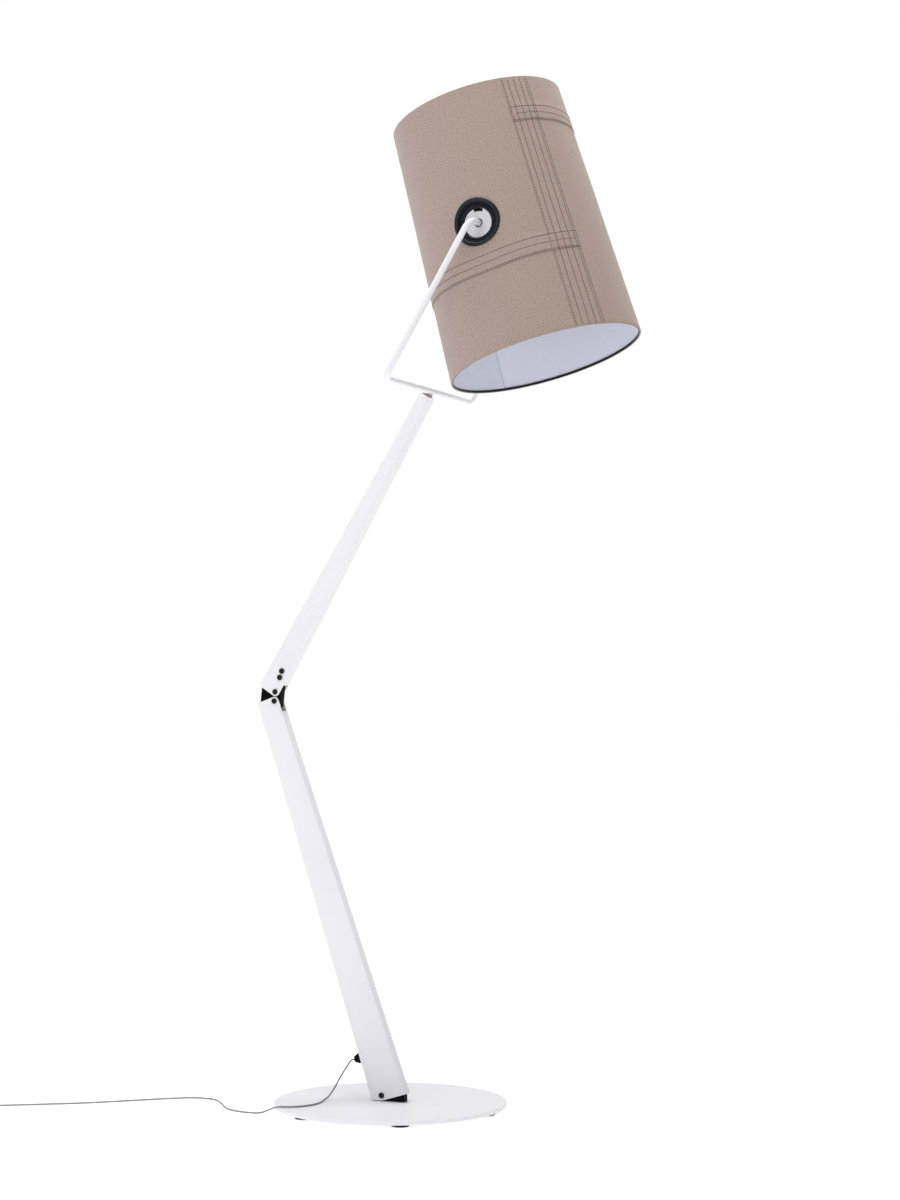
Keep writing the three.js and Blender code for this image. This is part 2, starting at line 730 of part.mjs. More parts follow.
function buildCord() {
  const end = ROUTE[ROUTE.length - 1];
  const before = ROUTE[ROUTE.length - 2];
  const heading = Math.atan2(end[1] - before[1], end[0] - before[0]);
  const ahead = new THREE.Vector2(Math.cos(heading), Math.sin(heading));
  place(lamp, "cord", cordTube(ROUTE, 11), "cord");

  const middle = SWITCH.length / 2 + GAP;
  buildSwitch(end[0] + ahead.x * middle, end[1] + ahead.y * middle, heading);
  const out = [end[0] + ahead.x * 2 * middle, end[1] + ahead.y * 2 * middle];
  const outerTurn = COIL.radius + COIL.width / 3;
  const tangent = [COIL.x - ahead.y * outerTurn, COIL.y + ahead.x * outerTurn];
  const tail = [
    [out[0], out[1], lying],
    [out[0] + ahead.x * 12, out[1] + ahead.y * 12, lying],
    [tangent[0] - ahead.x * 27, tangent[1] - ahead.y * 27, lying],
    [tangent[0] - ahead.x * 19, tangent[1] - ahead.y * 19, lying],
  ];
  place(lamp, "cord_tail", cordTube(tail, 8), "cord");

  const { radius, width, height } = COIL;
  const low = 0.1;
  const bevel = 2;
  const coil = closedTurned(
    [
      [radius - width / 2 + bevel, low],
      [radius + width / 2 - bevel, low],
      [radius + width / 2, low + bevel],
      [radius + width / 2, low + height - bevel],
      [radius + width / 2 - bevel, low + height],
      [radius - width / 2 + bevel, low + height],
      [radius - width / 2, low + height - bevel],
      [radius - width / 2, low + bevel],
    ],
    36,
  );
  place(lamp, "cord_coil", coil.translate(COIL.x, COIL.y, 0), "cord");
}

function buildPlug() {
  const group = new THREE.Group();
  group.position.set(COIL.x, COIL.y + COIL.radius + COIL.width / 2 + GAP + 9, 0);
  lamp.add(group);
  const body = roundedBlock(36, 18, 5, 0.1, 14);
  const sockets = [-6, 6].map((y) => bar(2.2, -20, 20, 12).rotateY(Math.PI / 2).translate(36, y, 7));
  place(group, "plug_body", cut(body, ...sockets), "cord");
  [-6, 6].forEach((y, i) => {
    const pin = bar(2, 0, 21, 12, 0.5).rotateY(Math.PI / 2).translate(16 + GAP, y, 7);
    place(group, `plug_pin_${i + 1}`, pin, "steel");
  });
}

buildBase();
buildLowerArm();
buildLink();
buildUpperArm();
buildFork();
buildShade();
buildCord();
buildPlug();

export default lamp;
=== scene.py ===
import math

import bmesh
import bpy
import numpy as np
from mathutils import Matrix, Vector, noise


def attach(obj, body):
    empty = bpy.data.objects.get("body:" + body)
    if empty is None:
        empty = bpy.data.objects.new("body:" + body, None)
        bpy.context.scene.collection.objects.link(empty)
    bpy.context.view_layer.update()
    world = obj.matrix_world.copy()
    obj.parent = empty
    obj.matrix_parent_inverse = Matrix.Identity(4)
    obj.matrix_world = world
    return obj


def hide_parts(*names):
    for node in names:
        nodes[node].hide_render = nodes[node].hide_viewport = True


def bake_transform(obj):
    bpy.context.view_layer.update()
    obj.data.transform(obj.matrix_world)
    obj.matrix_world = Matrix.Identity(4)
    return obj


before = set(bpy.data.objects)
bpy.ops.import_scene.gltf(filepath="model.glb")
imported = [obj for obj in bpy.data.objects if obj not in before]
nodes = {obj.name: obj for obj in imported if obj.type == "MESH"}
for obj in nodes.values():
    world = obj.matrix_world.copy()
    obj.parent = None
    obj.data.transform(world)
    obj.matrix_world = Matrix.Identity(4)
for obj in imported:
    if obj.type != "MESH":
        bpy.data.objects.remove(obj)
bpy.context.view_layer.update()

scene = bpy.context.scene
MM = 0.001

# ---- driving dimensions, in millimetres and degrees, as in the CAD source ----
LOWER_PIVOT, LOWER_LEAN = (-11.3, 20.6), -17.2
FORK_AT, FORK_LEAN = (69.324, 1171.445), 31.15
SHADE_AT, SHADE_LEAN = (214.99, 1412.442), -16.55
SHADE_LOW, SHADE_HIGH = -208.5, 218.2
SHADE_BOTTOM, SHADE_TOP = 158.8, 140.9
CORD_RADIUS = 1.4
LYING = CORD_RADIUS + 0.1  # the cord's middle where it lies on the floor
FLOOR_GAP = 0.12


def frame_at(place, lean):
    x, z = place
    return Matrix.Translation((x * MM, 0, z * MM)) @ Matrix.Rotation(math.radians(lean), 4, "Y")


SHADE = frame_at(SHADE_AT, SHADE_LEAN)
FORK = frame_at(FORK_AT, FORK_LEAN)


# ---- camera ----
CAMERA_AT = (1.64917, -3.57035, 0.67638)
CAMERA_RIGHT = Vector((0.917917, 0.396772, 0.0))
CAMERA_UP = Vector((0.015438, -0.035714, 0.999243))
CAMERA_FORWARD = Vector((-0.396472, 0.917222, 0.038908))
LENS, SENSOR_HEIGHT, FARTHEST = 71.69, 36, 100


def make_camera():
    data = bpy.data.cameras.new("camera")
    data.sensor_fit = "VERTICAL"
    data.sensor_height = SENSOR_HEIGHT
    data.lens = LENS
    data.clip_end = FARTHEST
    camera = bpy.data.objects.new("camera", data)
    turn = Matrix((CAMERA_RIGHT, CAMERA_UP, -CAMERA_FORWARD)).transposed().to_4x4()
    camera.matrix_world = Matrix.Translation(CAMERA_AT) @ turn
    scene.collection.objects.link(camera)
    scene.camera = camera


make_camera()


# ---- mesh helpers ----
def mesh_object(name, points, faces, matrix=None, sharp=35):
    """points are millimetres in the frame that matrix gives."""
    data = bpy.data.meshes.new(name)
    data.from_pydata((np.asarray(points, float) * MM).tolist(), [], faces)
    data.update()
    data.shade_smooth()
    data.set_sharp_from_angle(angle=math.radians(sharp))
    obj = bpy.data.objects.new(name, data)
    scene.collection.objects.link(obj)
    if matrix is not None:
        obj.matrix_world = matrix
    return obj


def grid_faces(rows, columns, wrap_rows=False, wrap_columns=True):
    faces = []
    for i in range(rows if wrap_rows else rows - 1):
        for j in range(columns if wrap_columns else columns - 1):
            a, b = i * columns + j, i * columns + (j + 1) % columns
            c, d = ((i + 1) % rows) * columns + (j + 1) % columns, ((i + 1) % rows) * columns + j
            faces.append((a, b, c, d))
    return faces


def lathe(profile, segments=96, closed=False):
    """Turns (radius, height) pairs about Z, listed anticlockwise, radius to the right."""
    points, faces, rows = [], [], []
    for r, h in profile:
        if r < 1e-6:
            rows.append([len(points)])
            points.append((0, 0, h))
        else:
            rows.append(list(range(len(points), len(points) + segments)))
            for j in range(segments):
                a = 2 * math.pi * j / segments
                points.append((r * math.cos(a), r * math.sin(a), h))
    pairs = list(zip(rows, rows[1:] + rows[:1])) if closed else list(zip(rows, rows[1:]))
    for low, high in pairs:
        for j in range(segments):
            k = (j + 1) % segments
            if len(low) == 1 and len(high) == 1:
                continue
            if len(low) == 1:
                faces.append((low[0], high[k], high[j]))
            elif len(high) == 1:
                faces.append((low[j], low[k], high[0]))
            else:
                faces.append((low[j], low[k], high[k], high[j]))
    return points, faces


def round_profile(corners, radius, steps=4, closed=False):
    """The same profile with its inner corners rounded. A corner may carry its own radius."""
    made, n = [], len(corners)
    for i, corner in enumerate(corners):
        at = Vector(corner[:2])
        own = corner[2] if len(corner) > 2 else radius
        if own <= 0 or (not closed and i in (0, n - 1)):
            made.append(tuple(at))
            continue
        before = Vector(corners[i - 1][:2]) - at
        after = Vector(corners[(i + 1) % n][:2]) - at
        back = min(own, before.length * 0.49, after.length * 0.49)
        start, end = at + before.normalized() * back, at + after.normalized() * back
        for k in range(steps + 1):
            t = k / steps
            made.append(tuple(start * (1 - t) ** 2 + at * 2 * t * (1 - t) + end * t * t))
    return made


def turned(name, profile, matrix, radius=0.4, segments=96, closed=False, steps=4):
    points, faces = lathe(round_profile(profile, radius, steps, closed), segments, closed)
    return mesh_object(name, points, faces, matrix)


def tube_mesh(path, radius, sides, closed=False, cap=0.0):
    """A round tube along path. radius may be a list, one for each point. cap rounds the ends."""
    path = np.asarray(path, float)
    n = len(path)
    radii = np.full(n, radius, float) if np.isscalar(radius) else np.asarray(radius, float)
    if closed:
        tangent = np.roll(path, -1, 0) - np.roll(path, 1, 0)
    else:
        tangent = np.gradient(path, axis=0)
    tangent /= np.linalg.norm(tangent, axis=1)[:, None]
    start = np.cross(tangent[0], (0, 0, 1) if abs(tangent[0][2]) < 0.9 else (1, 0, 0))
    normal = [start / np.linalg.norm(start)]
    for i in range(1, n):
        v = normal[-1] - tangent[i] * (normal[-1] @ tangent[i])
        normal.append(v / np.linalg.norm(v))
    normal = np.array(normal)
    side = np.cross(tangent, normal)
    if cap and not closed:
        rounding = np.linspace(0.3, math.pi / 2, 4)[:-1]
        ends = [math.sin(a) for a in rounding]
        lift = [math.cos(a) for a in rounding]
        head = [path[0] - tangent[0] * cap * k for k in lift]
        tail = [path[-1] + tangent[-1] * cap * k for k in reversed(lift)]
        path = np.vstack([head, path, tail])
        radii = np.concatenate([radii[0] * np.array(ends), radii, radii[-1] * np.array(ends[::-1])])
        normal = np.vstack([[normal[0]] * 3, normal, [normal[-1]] * 3])
        side = np.vstack([[side[0]] * 3, side, [side[-1]] * 3])
    angles = 2 * np.pi * np.arange(sides) / sides
    points = (
        path[:, None]
        + radii[:, None, None] * np.cos(angles)[None, :, None] * normal[:, None]
        + radii[:, None, None] * np.sin(angles)[None, :, None] * side[:, None]
    ).reshape(-1, 3)
    faces = grid_faces(len(path), sides, wrap_rows=closed)
    if not closed:
        faces.append(tuple(reversed(range(sides))))
        faces.append(tuple(range(len(points) - sides, len(points))))
    return points.tolist(), faces


def tube(name, path, radius, sides=24, matrix=None, closed=False, cap=0.0):
    points, faces = tube_mesh(path, radius, sides, closed, cap)
    return mesh_object(name, points, faces, matrix, sharp=60)


def through(points, step):
    """Evenly spaced points on a centripetal Catmull-Rom curve through the given ones."""
    p = np.asarray(points, float)
    p = np.vstack([2 * p[0] - p[1], p, 2 * p[-1] - p[-2]])
    fine = []
    for i in range(1, len(p) - 2):
        p0, p1, p2, p3 = p[i - 1 : i + 3]
        t1 = np.linalg.norm(p1 - p0) ** 0.5
        t2 = t1 + np.linalg.norm(p2 - p1) ** 0.5
        t3 = t2 + np.linalg.norm(p3 - p2) ** 0.5
        for t in np.linspace(t1, t2, 24, endpoint=False):
            a1 = (t1 - t) / t1 * p0 + t / t1 * p1
            a2 = (t2 - t) / (t2 - t1) * p1 + (t - t1) / (t2 - t1) * p2
            a3 = (t3 - t) / (t3 - t2) * p2 + (t - t2) / (t3 - t2) * p3
            b1 = (t2 - t) / t2 * a1 + t / t2 * a2
            b2 = (t3 - t) / (t3 - t1) * a2 + (t - t1) / (t3 - t1) * a3
            fine.append((t2 - t) / (t2 - t1) * b1 + (t - t1) / (t2 - t1) * b2)
    fine.append(p[-2])
    fine = np.array(fine)
    run = distances_along(fine)
    at = np.linspace(0, run[-1], max(2, round(run[-1] / step) + 1))
    return np.stack([np.interp(at, run, fine[:, k]) for k in range(3)], axis=1)


def steps_of(path):
    return np.linalg.norm(np.diff(path, axis=0), axis=1)


def length_of(path):
    return float(steps_of(path).sum())


def distances_along(path):
    return np.concatenate([[0], np.cumsum(steps_of(path))])


def smoothstep(low, high, x):
    t = np.clip((np.asarray(x, float) - low) / (high - low), 0, 1)
    return t * t * (3 - 2 * t)


# ---- materials ----
class Surface:
    """A Principled material fed by noise and patterns in the piece's own space, in metres."""

    def __init__(self, name, metallic=0.0, specular=0.5, **sockets):
        self.data = bpy.data.materials.new(name)
        self.data.use_nodes = True
        self.tree = self.data.node_tree
        self.tree.nodes.clear()
        out = self.node("OutputMaterial")
        self.shader = self.node("BsdfPrincipled")
        self.tree.links.new(self.shader.outputs["BSDF"], out.inputs["Surface"])
        self.place = self.node("TexCoord").outputs["Object"]
        self.shader.inputs["Metallic"].default_value = metallic
        self.shader.inputs["Specular IOR Level"].default_value = specular
        for key, value in sockets.items():
            self.shader.inputs[key.replace("_", " ")].default_value = value
        self.normal = None

    def node(self, kind, inputs=None, **settings):
        made = self.tree.nodes.new("ShaderNode" + kind)
        for key, value in settings.items():
            setattr(made, key, value)
        for key, value in (inputs or {}).items():
            if isinstance(value, bpy.types.NodeSocket):
                self.tree.links.new(value, made.inputs[key])
            else:
                made.inputs[key].default_value = value
        return made

    def math(self, operation, a, b=0.0):
        return self.node("Math", {0: a, 1: b}, operation=operation).outputs[0]

    def noise(self, scale, detail=2.0, stretch=None, place=None):
        place = place or self.place
        if stretch:
            place = self.node("Mapping", {"Vector": place, "Scale": stretch}).outputs[0]
        wanted = {"Vector": place, "Scale": scale, "Detail": detail, "Roughness": 0.55}
        return self.node("TexNoise", wanted).outputs[0]

    def spread(self, value, low, high, to_low=0.0, to_high=1.0):
        wanted = {0: value, 1: low, 2: high, 3: to_low, 4: to_high}
        return self.node("MapRange", wanted).outputs[0]

    def mix(self, share, a, b, blend="MIX"):
        a, b = ((*c, 1) if isinstance(c, tuple) else c for c in (a, b))
        wanted = {0: share, 6: a, 7: b}
        return self.node("Mix", wanted, data_type="RGBA", blend_type=blend).outputs[2]

    def relief(self, height, distance):
        wanted = {"Height": height, "Distance": distance, "Strength": 1.0}
        if self.normal is not None:
            wanted["Normal"] = self.normal
        self.normal = self.node("Bump", wanted).outputs[0]

    def finish(self, colour, roughness):
        self.tree.links.new(colour, self.shader.inputs["Base Color"])
        self.tree.links.new(roughness, self.shader.inputs["Roughness"])
        if self.normal is not None:
            self.tree.links.new(self.normal, self.shader.inputs["Normal"])
        return self.data


def moulded(name, dark, light, rough, patches, grain, distance, **sockets):
    """Paint, plastic, rubber or metal: patches and a fine grain in colour, gloss and height."""
    s = Surface(name, **sockets)
    broad, fine = s.noise(patches, 3.0), s.noise(grain, 2.0)
    share = s.math("ADD", s.math("MULTIPLY", broad, 0.6), s.math("MULTIPLY", fine, 0.4))
    colour = s.mix(s.spread(share, 0.38, 0.62), dark, light)
    gloss = s.spread(s.math("ADD", broad, fine), 0.7, 1.3, *rough)
    s.relief(fine, distance)
    return s.finish(colour, gloss)


def canvas(name):
    """Plain-woven cotton, in the cloth's own flat coordinates."""
    s = Surface(name, specular=0.25, Sheen_Weight=0.2, Sheen_Roughness=0.5)
    flat = s.node("UVMap", uv_map="cloth").outputs[0]
    apart = s.node("SeparateXYZ", {0: flat})
    drift = s.math("MULTIPLY", s.noise(140.0, 3.0, place=flat), 0.0022)
    turn = 2 * math.pi / THREAD_PITCH
    warp = s.math("SINE", s.math("MULTIPLY", s.math("ADD", apart.outputs[0], drift), turn))
    weft = s.math("SINE", s.math("MULTIPLY", s.math("SUBTRACT", apart.outputs[1], drift), turn))
    weave = s.math("MULTIPLY", warp, weft)
    grain = s.noise(520.0, 4.0, place=flat)
    fleck = s.noise(240.0, 3.0, place=flat)
    cloud = s.noise(9.0, 3.0, place=flat)
    # Painted shade: the cloth is mixed darker and warmer towards the shade's own +X side, its right in view.
    across = s.spread(s.node("SeparateXYZ", {0: s.place}).outputs[0], -0.15, 0.15)
    colour = s.mix(s.spread(grain, 0.34, 0.66), (0.198, 0.149, 0.134), (0.464, 0.357, 0.327))
    colour = s.mix(s.spread(fleck, 0.40, 0.66, 0.0, 0.30), colour, (0.50, 0.405, 0.362))
    colour = s.mix(s.spread(weave, -1.0, 0.4, 0.22, 0.0), colour, (0.13, 0.096, 0.08))
    colour = s.mix(s.spread(cloud, 0.35, 0.65, 0.0, 0.10), colour, (0.37, 0.29, 0.25))
    colour = s.mix(s.math("MULTIPLY", across, 0.36), colour, (0.35, 0.264, 0.190))
    # Painted shadow along the folded edges and sewn lines, as strong as fold_shadow gives it.
    crease = s.node("Attribute", attribute_name="crease").outputs["Fac"]
    colour = s.mix(s.math("MULTIPLY", crease, 0.46), colour, (0.05, 0.036, 0.029))
    s.relief(weave, 8e-5)
    s.relief(grain, 0.0003)
    return s.finish(colour, s.spread(grain, 0.3, 0.7, 0.82, 0.96))


def laminate(name):
    """The shade's stiff white lining, with faint fibres."""
    s = Surface(name, specular=0.4)
    fibre, patch = s.noise(330.0, 3.0), s.noise(13.0, 2.0)
    colour = s.mix(s.spread(fibre, 0.3, 0.7), (0.56, 0.567, 0.655), (0.60, 0.608, 0.69))
    colour = s.mix(s.spread(patch, 0.42, 0.62, 0.0, 0.30), colour, (0.54, 0.57, 0.63))
    # The lap line is painted shadow; the strip behind it is mixed duller and blotched.
    lapped = s.node("Attribute", attribute_name="crease").outputs["Fac"]
    blotch = s.spread(s.noise(75.0, 3.0), 0.35, 0.65, 0.6, 1.0)
    colour = s.mix(s.math("MULTIPLY", lapped, blotch), colour, (0.36, 0.395, 0.40))
    s.relief(fibre, 2e-5)
    return s.finish(colour, s.spread(patch, 0.3, 0.7, 0.48, 0.62))


def drawn(name, dark, light, rough, pitch):
    """A cable sheath or thread: moulded colour with fine spiral lay lines round it."""
    s = Surface(name, specular=0.45)
    broad, fine = s.noise(35.0, 3.0), s.noise(2200.0, 2.0)
    lay = s.math("SINE", s.math("MULTIPLY", s.noise(pitch, 1.0), 40.0))
    colour = s.mix(s.spread(s.math("ADD", broad, fine), 0.75, 1.25), dark, light)
    s.relief(lay, 2e-5)
    s.relief(fine, 2e-5)
    return s.finish(colour, s.spread(broad, 0.3, 0.7, *rough))


def plated(name, dark, light, rough):
    """Zinc-plated steel with soft turning marks."""
    s = Surface(name, metallic=1.0)
    broad, fine = s.noise(120.0, 3.0), s.noise(1.0, 2.0, stretch=(300.0, 2600.0, 300.0))
    colour = s.mix(s.spread(s.math("ADD", broad, fine), 0.7, 1.3), dark, light)
    s.relief(fine, 2e-5)
    return s.finish(colour, s.spread(broad, 0.3, 0.7, *rough))


THREAD_PITCH = 0.0015
PAINT = moulded("white_powder_coat", (0.70, 0.695, 0.737), (0.728, 0.723, 0.762), (0.42, 0.52), 7, 1500, 4e-6)
# The hubs' white enamel, painted greyer than the white rim round it as painted shadow for the dish it sits
# in.
SHADOWED_HUB_PAINT = moulded(
    "white_enamel_painted_shadow", (0.575, 0.57, 0.61), (0.62, 0.615, 0.655), (0.36, 0.46), 60, 1500, 4e-6
)
RUBBER = moulded(
    "black_rubber", (0.003, 0.005, 0.009), (0.008, 0.011, 0.018), (0.28, 0.4), 60, 1800, 6e-6, specular=0.22
)
BLACK = moulded(
    "black_nylon", (0.002, 0.002, 0.003), (0.006, 0.006, 0.008), (0.45, 0.6), 50, 1600, 1e-5, specular=0.04
)
BLACK_STEEL = moulded(
    "blackened_steel", (0.004, 0.004, 0.006), (0.01, 0.01, 0.013), (0.3, 0.45), 90, 2400, 6e-6, specular=0.2
)
GREY = moulded("grey_moulding", (0.30, 0.30, 0.315), (0.36, 0.36, 0.372), (0.42, 0.55), 40, 1500, 3e-5)
FIBRE = moulded("red_fibre", (0.34, 0.21, 0.19), (0.44, 0.29, 0.26), (0.6, 0.75), 200, 1800, 4e-5)
BULB = moulded(
    "opal_glass", (0.86, 0.84, 0.78), (0.91, 0.89, 0.84), (0.12, 0.2), 20, 900, 4e-6, Coat_Weight=0.3
)
ZINC = plated("zinc_plate", (0.50, 0.50, 0.515), (0.66, 0.66, 0.665), (0.28, 0.42))
SHEATH = drawn("cable_sheath", (0.19, 0.19, 0.20), (0.24, 0.24, 0.247), (0.42, 0.55), 160.0)
THREAD = drawn("sewing_thread", (0.010, 0.007, 0.006), (0.028, 0.020, 0.016), (0.6, 0.75), 700.0)
CANVAS = canvas("cotton_canvas")
LINING = laminate("white_laminate")


def paint(obj, material, body=None, replaces=()):
    obj.data.materials.clear()
    obj.data.materials.append(material)
    if body:
        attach(obj, body)
    if replaces:
        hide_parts(*replaces)
    return obj


# ---- mains cord ----
def gland_point(n, s):
    lean = math.radians(-LOWER_LEAN)
    x = LOWER_PIVOT[0] + n * math.cos(lean) - s * math.sin(lean)
    return (x, 0, LOWER_PIVOT[1] + n * math.sin(lean) + s * math.cos(lean))


GLAND_S, GLAND_NOSE = 67, -33.88
ON_DISC = 11 + LYING
COIL_AT, COIL_RADIUS, COIL_PITCH = (-762, -292), 29, 2.8
PLUG_AT, PLUG_Z, PLUG_HALF = (-762, -249.5), 7, 18
LAST_SEEN = (-613, -252)

ROUTE = [
    gland_point(GLAND_NOSE, GLAND_S),
    gland_point(GLAND_NOSE - 8, GLAND_S),
    (-79.5, -4, 59),
    (-87, -9, 45),
    (-93, -19, 28),
    (-97, -32, 16.5),
    (-98, -48, ON_DISC + 0.6),
    (-94, -70, ON_DISC + 0.1),
    (-96, -92, ON_DISC),
    (-109, -115, ON_DISC),
    (-124, -127, ON_DISC + 0.3),
    (-138, -132.2, ON_DISC),
    (-150, -135.6, 8.6),
    (-161, -137.6, 3.8),
    (-174, -139, LYING),
    (-198, -139, LYING),
    (-232, -125, LYING),
    (-269, -82, LYING),
    (-297, -54, LYING),
    (-334, -51, LYING),
    (-371, -74, LYING),
    (-413, -111, LYING),
    (-476, -166, LYING),
    (-532, -204, LYING),
    (-592, -242, LYING),
    (*LAST_SEEN, LYING),
]
ROUTE_STEP = 3
HEADING = math.atan2(LAST_SEEN[1] - ROUTE[-2][1], LAST_SEEN[0] - ROUTE[-2][0])
AHEAD = (math.cos(HEADING), math.sin(HEADING))
COIL_START = math.degrees(HEADING) + 90
COIL_TURNS = 5.33


def ahead(distance, z=LYING):
    return (LAST_SEEN[0] + AHEAD[0] * distance, LAST_SEEN[1] + AHEAD[1] * distance, z)


def coil_points():
    """Two layers of three turns, clockwise: inwards on the floor, then outwards on top."""
    made = []
    for step in range(int(COIL_TURNS * 36) + 1):
        s = step / 36
        inward = sum(float(smoothstep(k + 0.84, k + 1.0, s)) for k in (0, 1))
        outward = sum(float(smoothstep(k + 0.54, k + 0.70, s)) for k in (3, 4))
        radius = COIL_RADIUS + COIL_PITCH * (1 - inward + outward)
        z = LYING + COIL_PITCH * float(smoothstep(2.68, 2.84, s))
        a = math.radians(COIL_START - 360 * s)
        made.append((COIL_AT[0] + radius * math.cos(a), COIL_AT[1] + radius * math.sin(a), z))
    return made


def cord_route():
    through_switch = [ahead(d, z) for d, z in ((6, 2.6), (20, 3), (58, 3), (72, 2.6), (84, LYING))]
    x, y = PLUG_AT[0] - PLUG_HALF, PLUG_AT[1]
    to_plug = [
        (x - 16.6, y - 34, 4.8),
        (x - 17.5, y - 25, 5.4),
        (x - 15.6, y - 13, 6.0),
        (x - 9.5, y - 4, 6.8),
        (x, y, PLUG_Z),
        (x + 7, y, PLUG_Z),
    ]
    return ROUTE + through_switch + coil_points() + to_plug


CORD_PATH = through(cord_route(), ROUTE_STEP)
CORD_PATH[:, 2] = np.maximum(CORD_PATH[:, 2], LYING)
cord = tube("cord_line", CORD_PATH, CORD_RADIUS, 14, cap=0.6)
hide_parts("cord", "cord_tail", "cord_coil")


# ---- pieces kept from the CAD, and copies with rounded edges ----
def boolean(obj, other, operation):
    """Applies an exact boolean to obj and removes the other object."""
    modifier = obj.modifiers.new("shape", "BOOLEAN")
    modifier.operation, modifier.solver, modifier.object = operation, "EXACT", other
    bpy.context.view_layer.update()
    made = bpy.data.meshes.new_from_object(obj.evaluated_get(bpy.context.evaluated_depsgraph_get()))
    obj.modifiers.remove(modifier)
    obj.data = made
    bpy.data.objects.remove(other)
    return obj


def smooth(obj, angle=35):
    obj.data.shade_smooth()
    obj.data.set_sharp_from_angle(angle=math.radians(angle))
    return obj


def rounded_copy(node, name, edge, long_edge=None, long_from=100, segments=2):
    """A CAD node's own shape with its outer edges rounded, the long ones by long_edge. Millimetres."""
    data = nodes[node].data.copy()
    data.name = name
    if "custom_normal" in data.attributes:
        data.attributes.remove(data.attributes["custom_normal"])
    bm = bmesh.new()
    bm.from_mesh(data)
    bmesh.ops.remove_doubles(bm, verts=bm.verts, dist=2e-6)
    bmesh.ops.dissolve_limit(bm, angle_limit=math.radians(0.6), verts=bm.verts, edges=bm.edges)
    bmesh.ops.recalc_face_normals(bm, faces=bm.faces)

    def outer(low, high):
        return [
            e
            for e in bm.edges
            if e.is_manifold
            and e.is_convex
            and e.calc_face_angle(0) > math.radians(32)
            and low * MM <= e.calc_length() < high * MM
        ]

    def bevel(edges, width, steps):
        bmesh.ops.bevel(
            bm, geom=edges, offset=width * MM, offset_type="OFFSET", segments=steps, profile=0.5,
            affect="EDGES", clamp_overlap=True,
        )

    if long_edge:
        bevel(outer(long_from, 1e6), long_edge, segments + 1)
    if edge:
        bevel(outer(edge * 2, long_from if long_edge else 1e6), edge, segments)
    bm.to_mesh(data)
    bm.free()
    obj = bpy.data.objects.new(name, data)
    scene.collection.objects.link(obj)
    return smooth(obj)


def keep(node, material, bevel=0.0):
    """A CAD node shown as it is, with its own material, its facets smoothed and its edges eased."""
    obj = nodes[node]
    obj.data.materials.clear()
    obj.data.materials.append(material)
    if "custom_normal" in obj.data.attributes:
        obj.data.attributes.remove(obj.data.attributes["custom_normal"])
    obj.data.shade_smooth()
    weld = obj.modifiers.new("weld", "WELD")
    weld.merge_threshold = 2e-6
    ease = obj.modifiers.new("ease", "BEVEL")
    ease.width = (bevel or 0.15) * MM
    ease.segments = 2
    ease.limit_method = "ANGLE"
    ease.angle_limit = math.radians(34)
    ease.harden_normals = True
    return obj


# ---- base ----
keep("base_disc", PAINT, 0.35)
for i in range(1, 7):
    keep(f"rubber_foot_{i}", RUBBER, 0.3)
keep("centre_pad", RUBBER, 0.3)
keep("hinge_bracket", BLACK, 0.4)
for i in (1, 2):
    keep(f"bracket_screw_{i}", ZINC)

# ---- arms, link and pivots ----
for arm in ("lower_arm", "upper_arm"):
    skin = rounded_copy(f"{arm}_shell", f"{arm}_skin", 0, 1.4)
    paint(skin, PAINT, arm, [f"{arm}_shell"])
keep("knee_link", BLACK, 0.5)
for pivot in ("base_pivot", "knee_lower", "knee_upper"):
    keep(f"{pivot}_bolt", BLACK_STEEL, 0.2)
    keep(f"{pivot}_nut", BLACK_STEEL, 0.2)
    keep(f"{pivot}_washer_near", BLACK)
    keep(f"{pivot}_washer_far", BLACK)
for i in (1, 2):
    keep(f"friction_screw_{i}", BLACK_STEEL, 0.2)
keep("friction_block", BLACK)
keep("cord_gland", BLACK, 0.3)
keep("swivel_socket", BLACK)
for name in ("lead_lower", "lead_knee", "lead_upper"):
    keep(name, SHEATH)

# ---- fork ----
FORK_HALF, FORK_LENGTH, FORK_BEND, FORK_END, ROD = 175, 281.6, 18, 127.8, 5


def fork_path():
    def corner(cy, cz, start):
        angles = [math.radians(start + 90 * k / 12) for k in range(13)]
        return [(0, cy + FORK_BEND * math.cos(a), cz + FORK_BEND * math.sin(a)) for a in angles]

    def straight(a, b, n):
        return [tuple(np.array(a) + (np.array(b) - np.array(a)) * k / n) for k in range(1, n)]

    low = corner(FORK_HALF - FORK_BEND, FORK_BEND, 270)
    high = corner(FORK_HALF - FORK_BEND, FORK_LENGTH - FORK_BEND, 0)
    end = (0, FORK_END, FORK_LENGTH)
    half = [(0, 0, 0), *straight((0, 0, 0), low[0], 8), *low, *straight(low[-1], high[0], 12), *high]
    half += [*straight(high[-1], end, 3), end]
    return [(0, -y, z) for _, y, z in reversed(half[1:])] + half


def make_fork():
    rod = tube("fork_rod", fork_path(), ROD, 32, FORK, cap=1.2)
    stem = turned("fork_stem", [(0, -56), (ROD, -56, 0.6), (ROD, 1, 0), (0, 1)], FORK, 0.6, 32)
    boolean(rod, stem, "UNION")
    paint(smooth(rod, 50), PAINT, "fork", ["fork"])


make_fork()
keep("swivel_washer", FIBRE, 0.2)
keep("retaining_ring", ZINC)

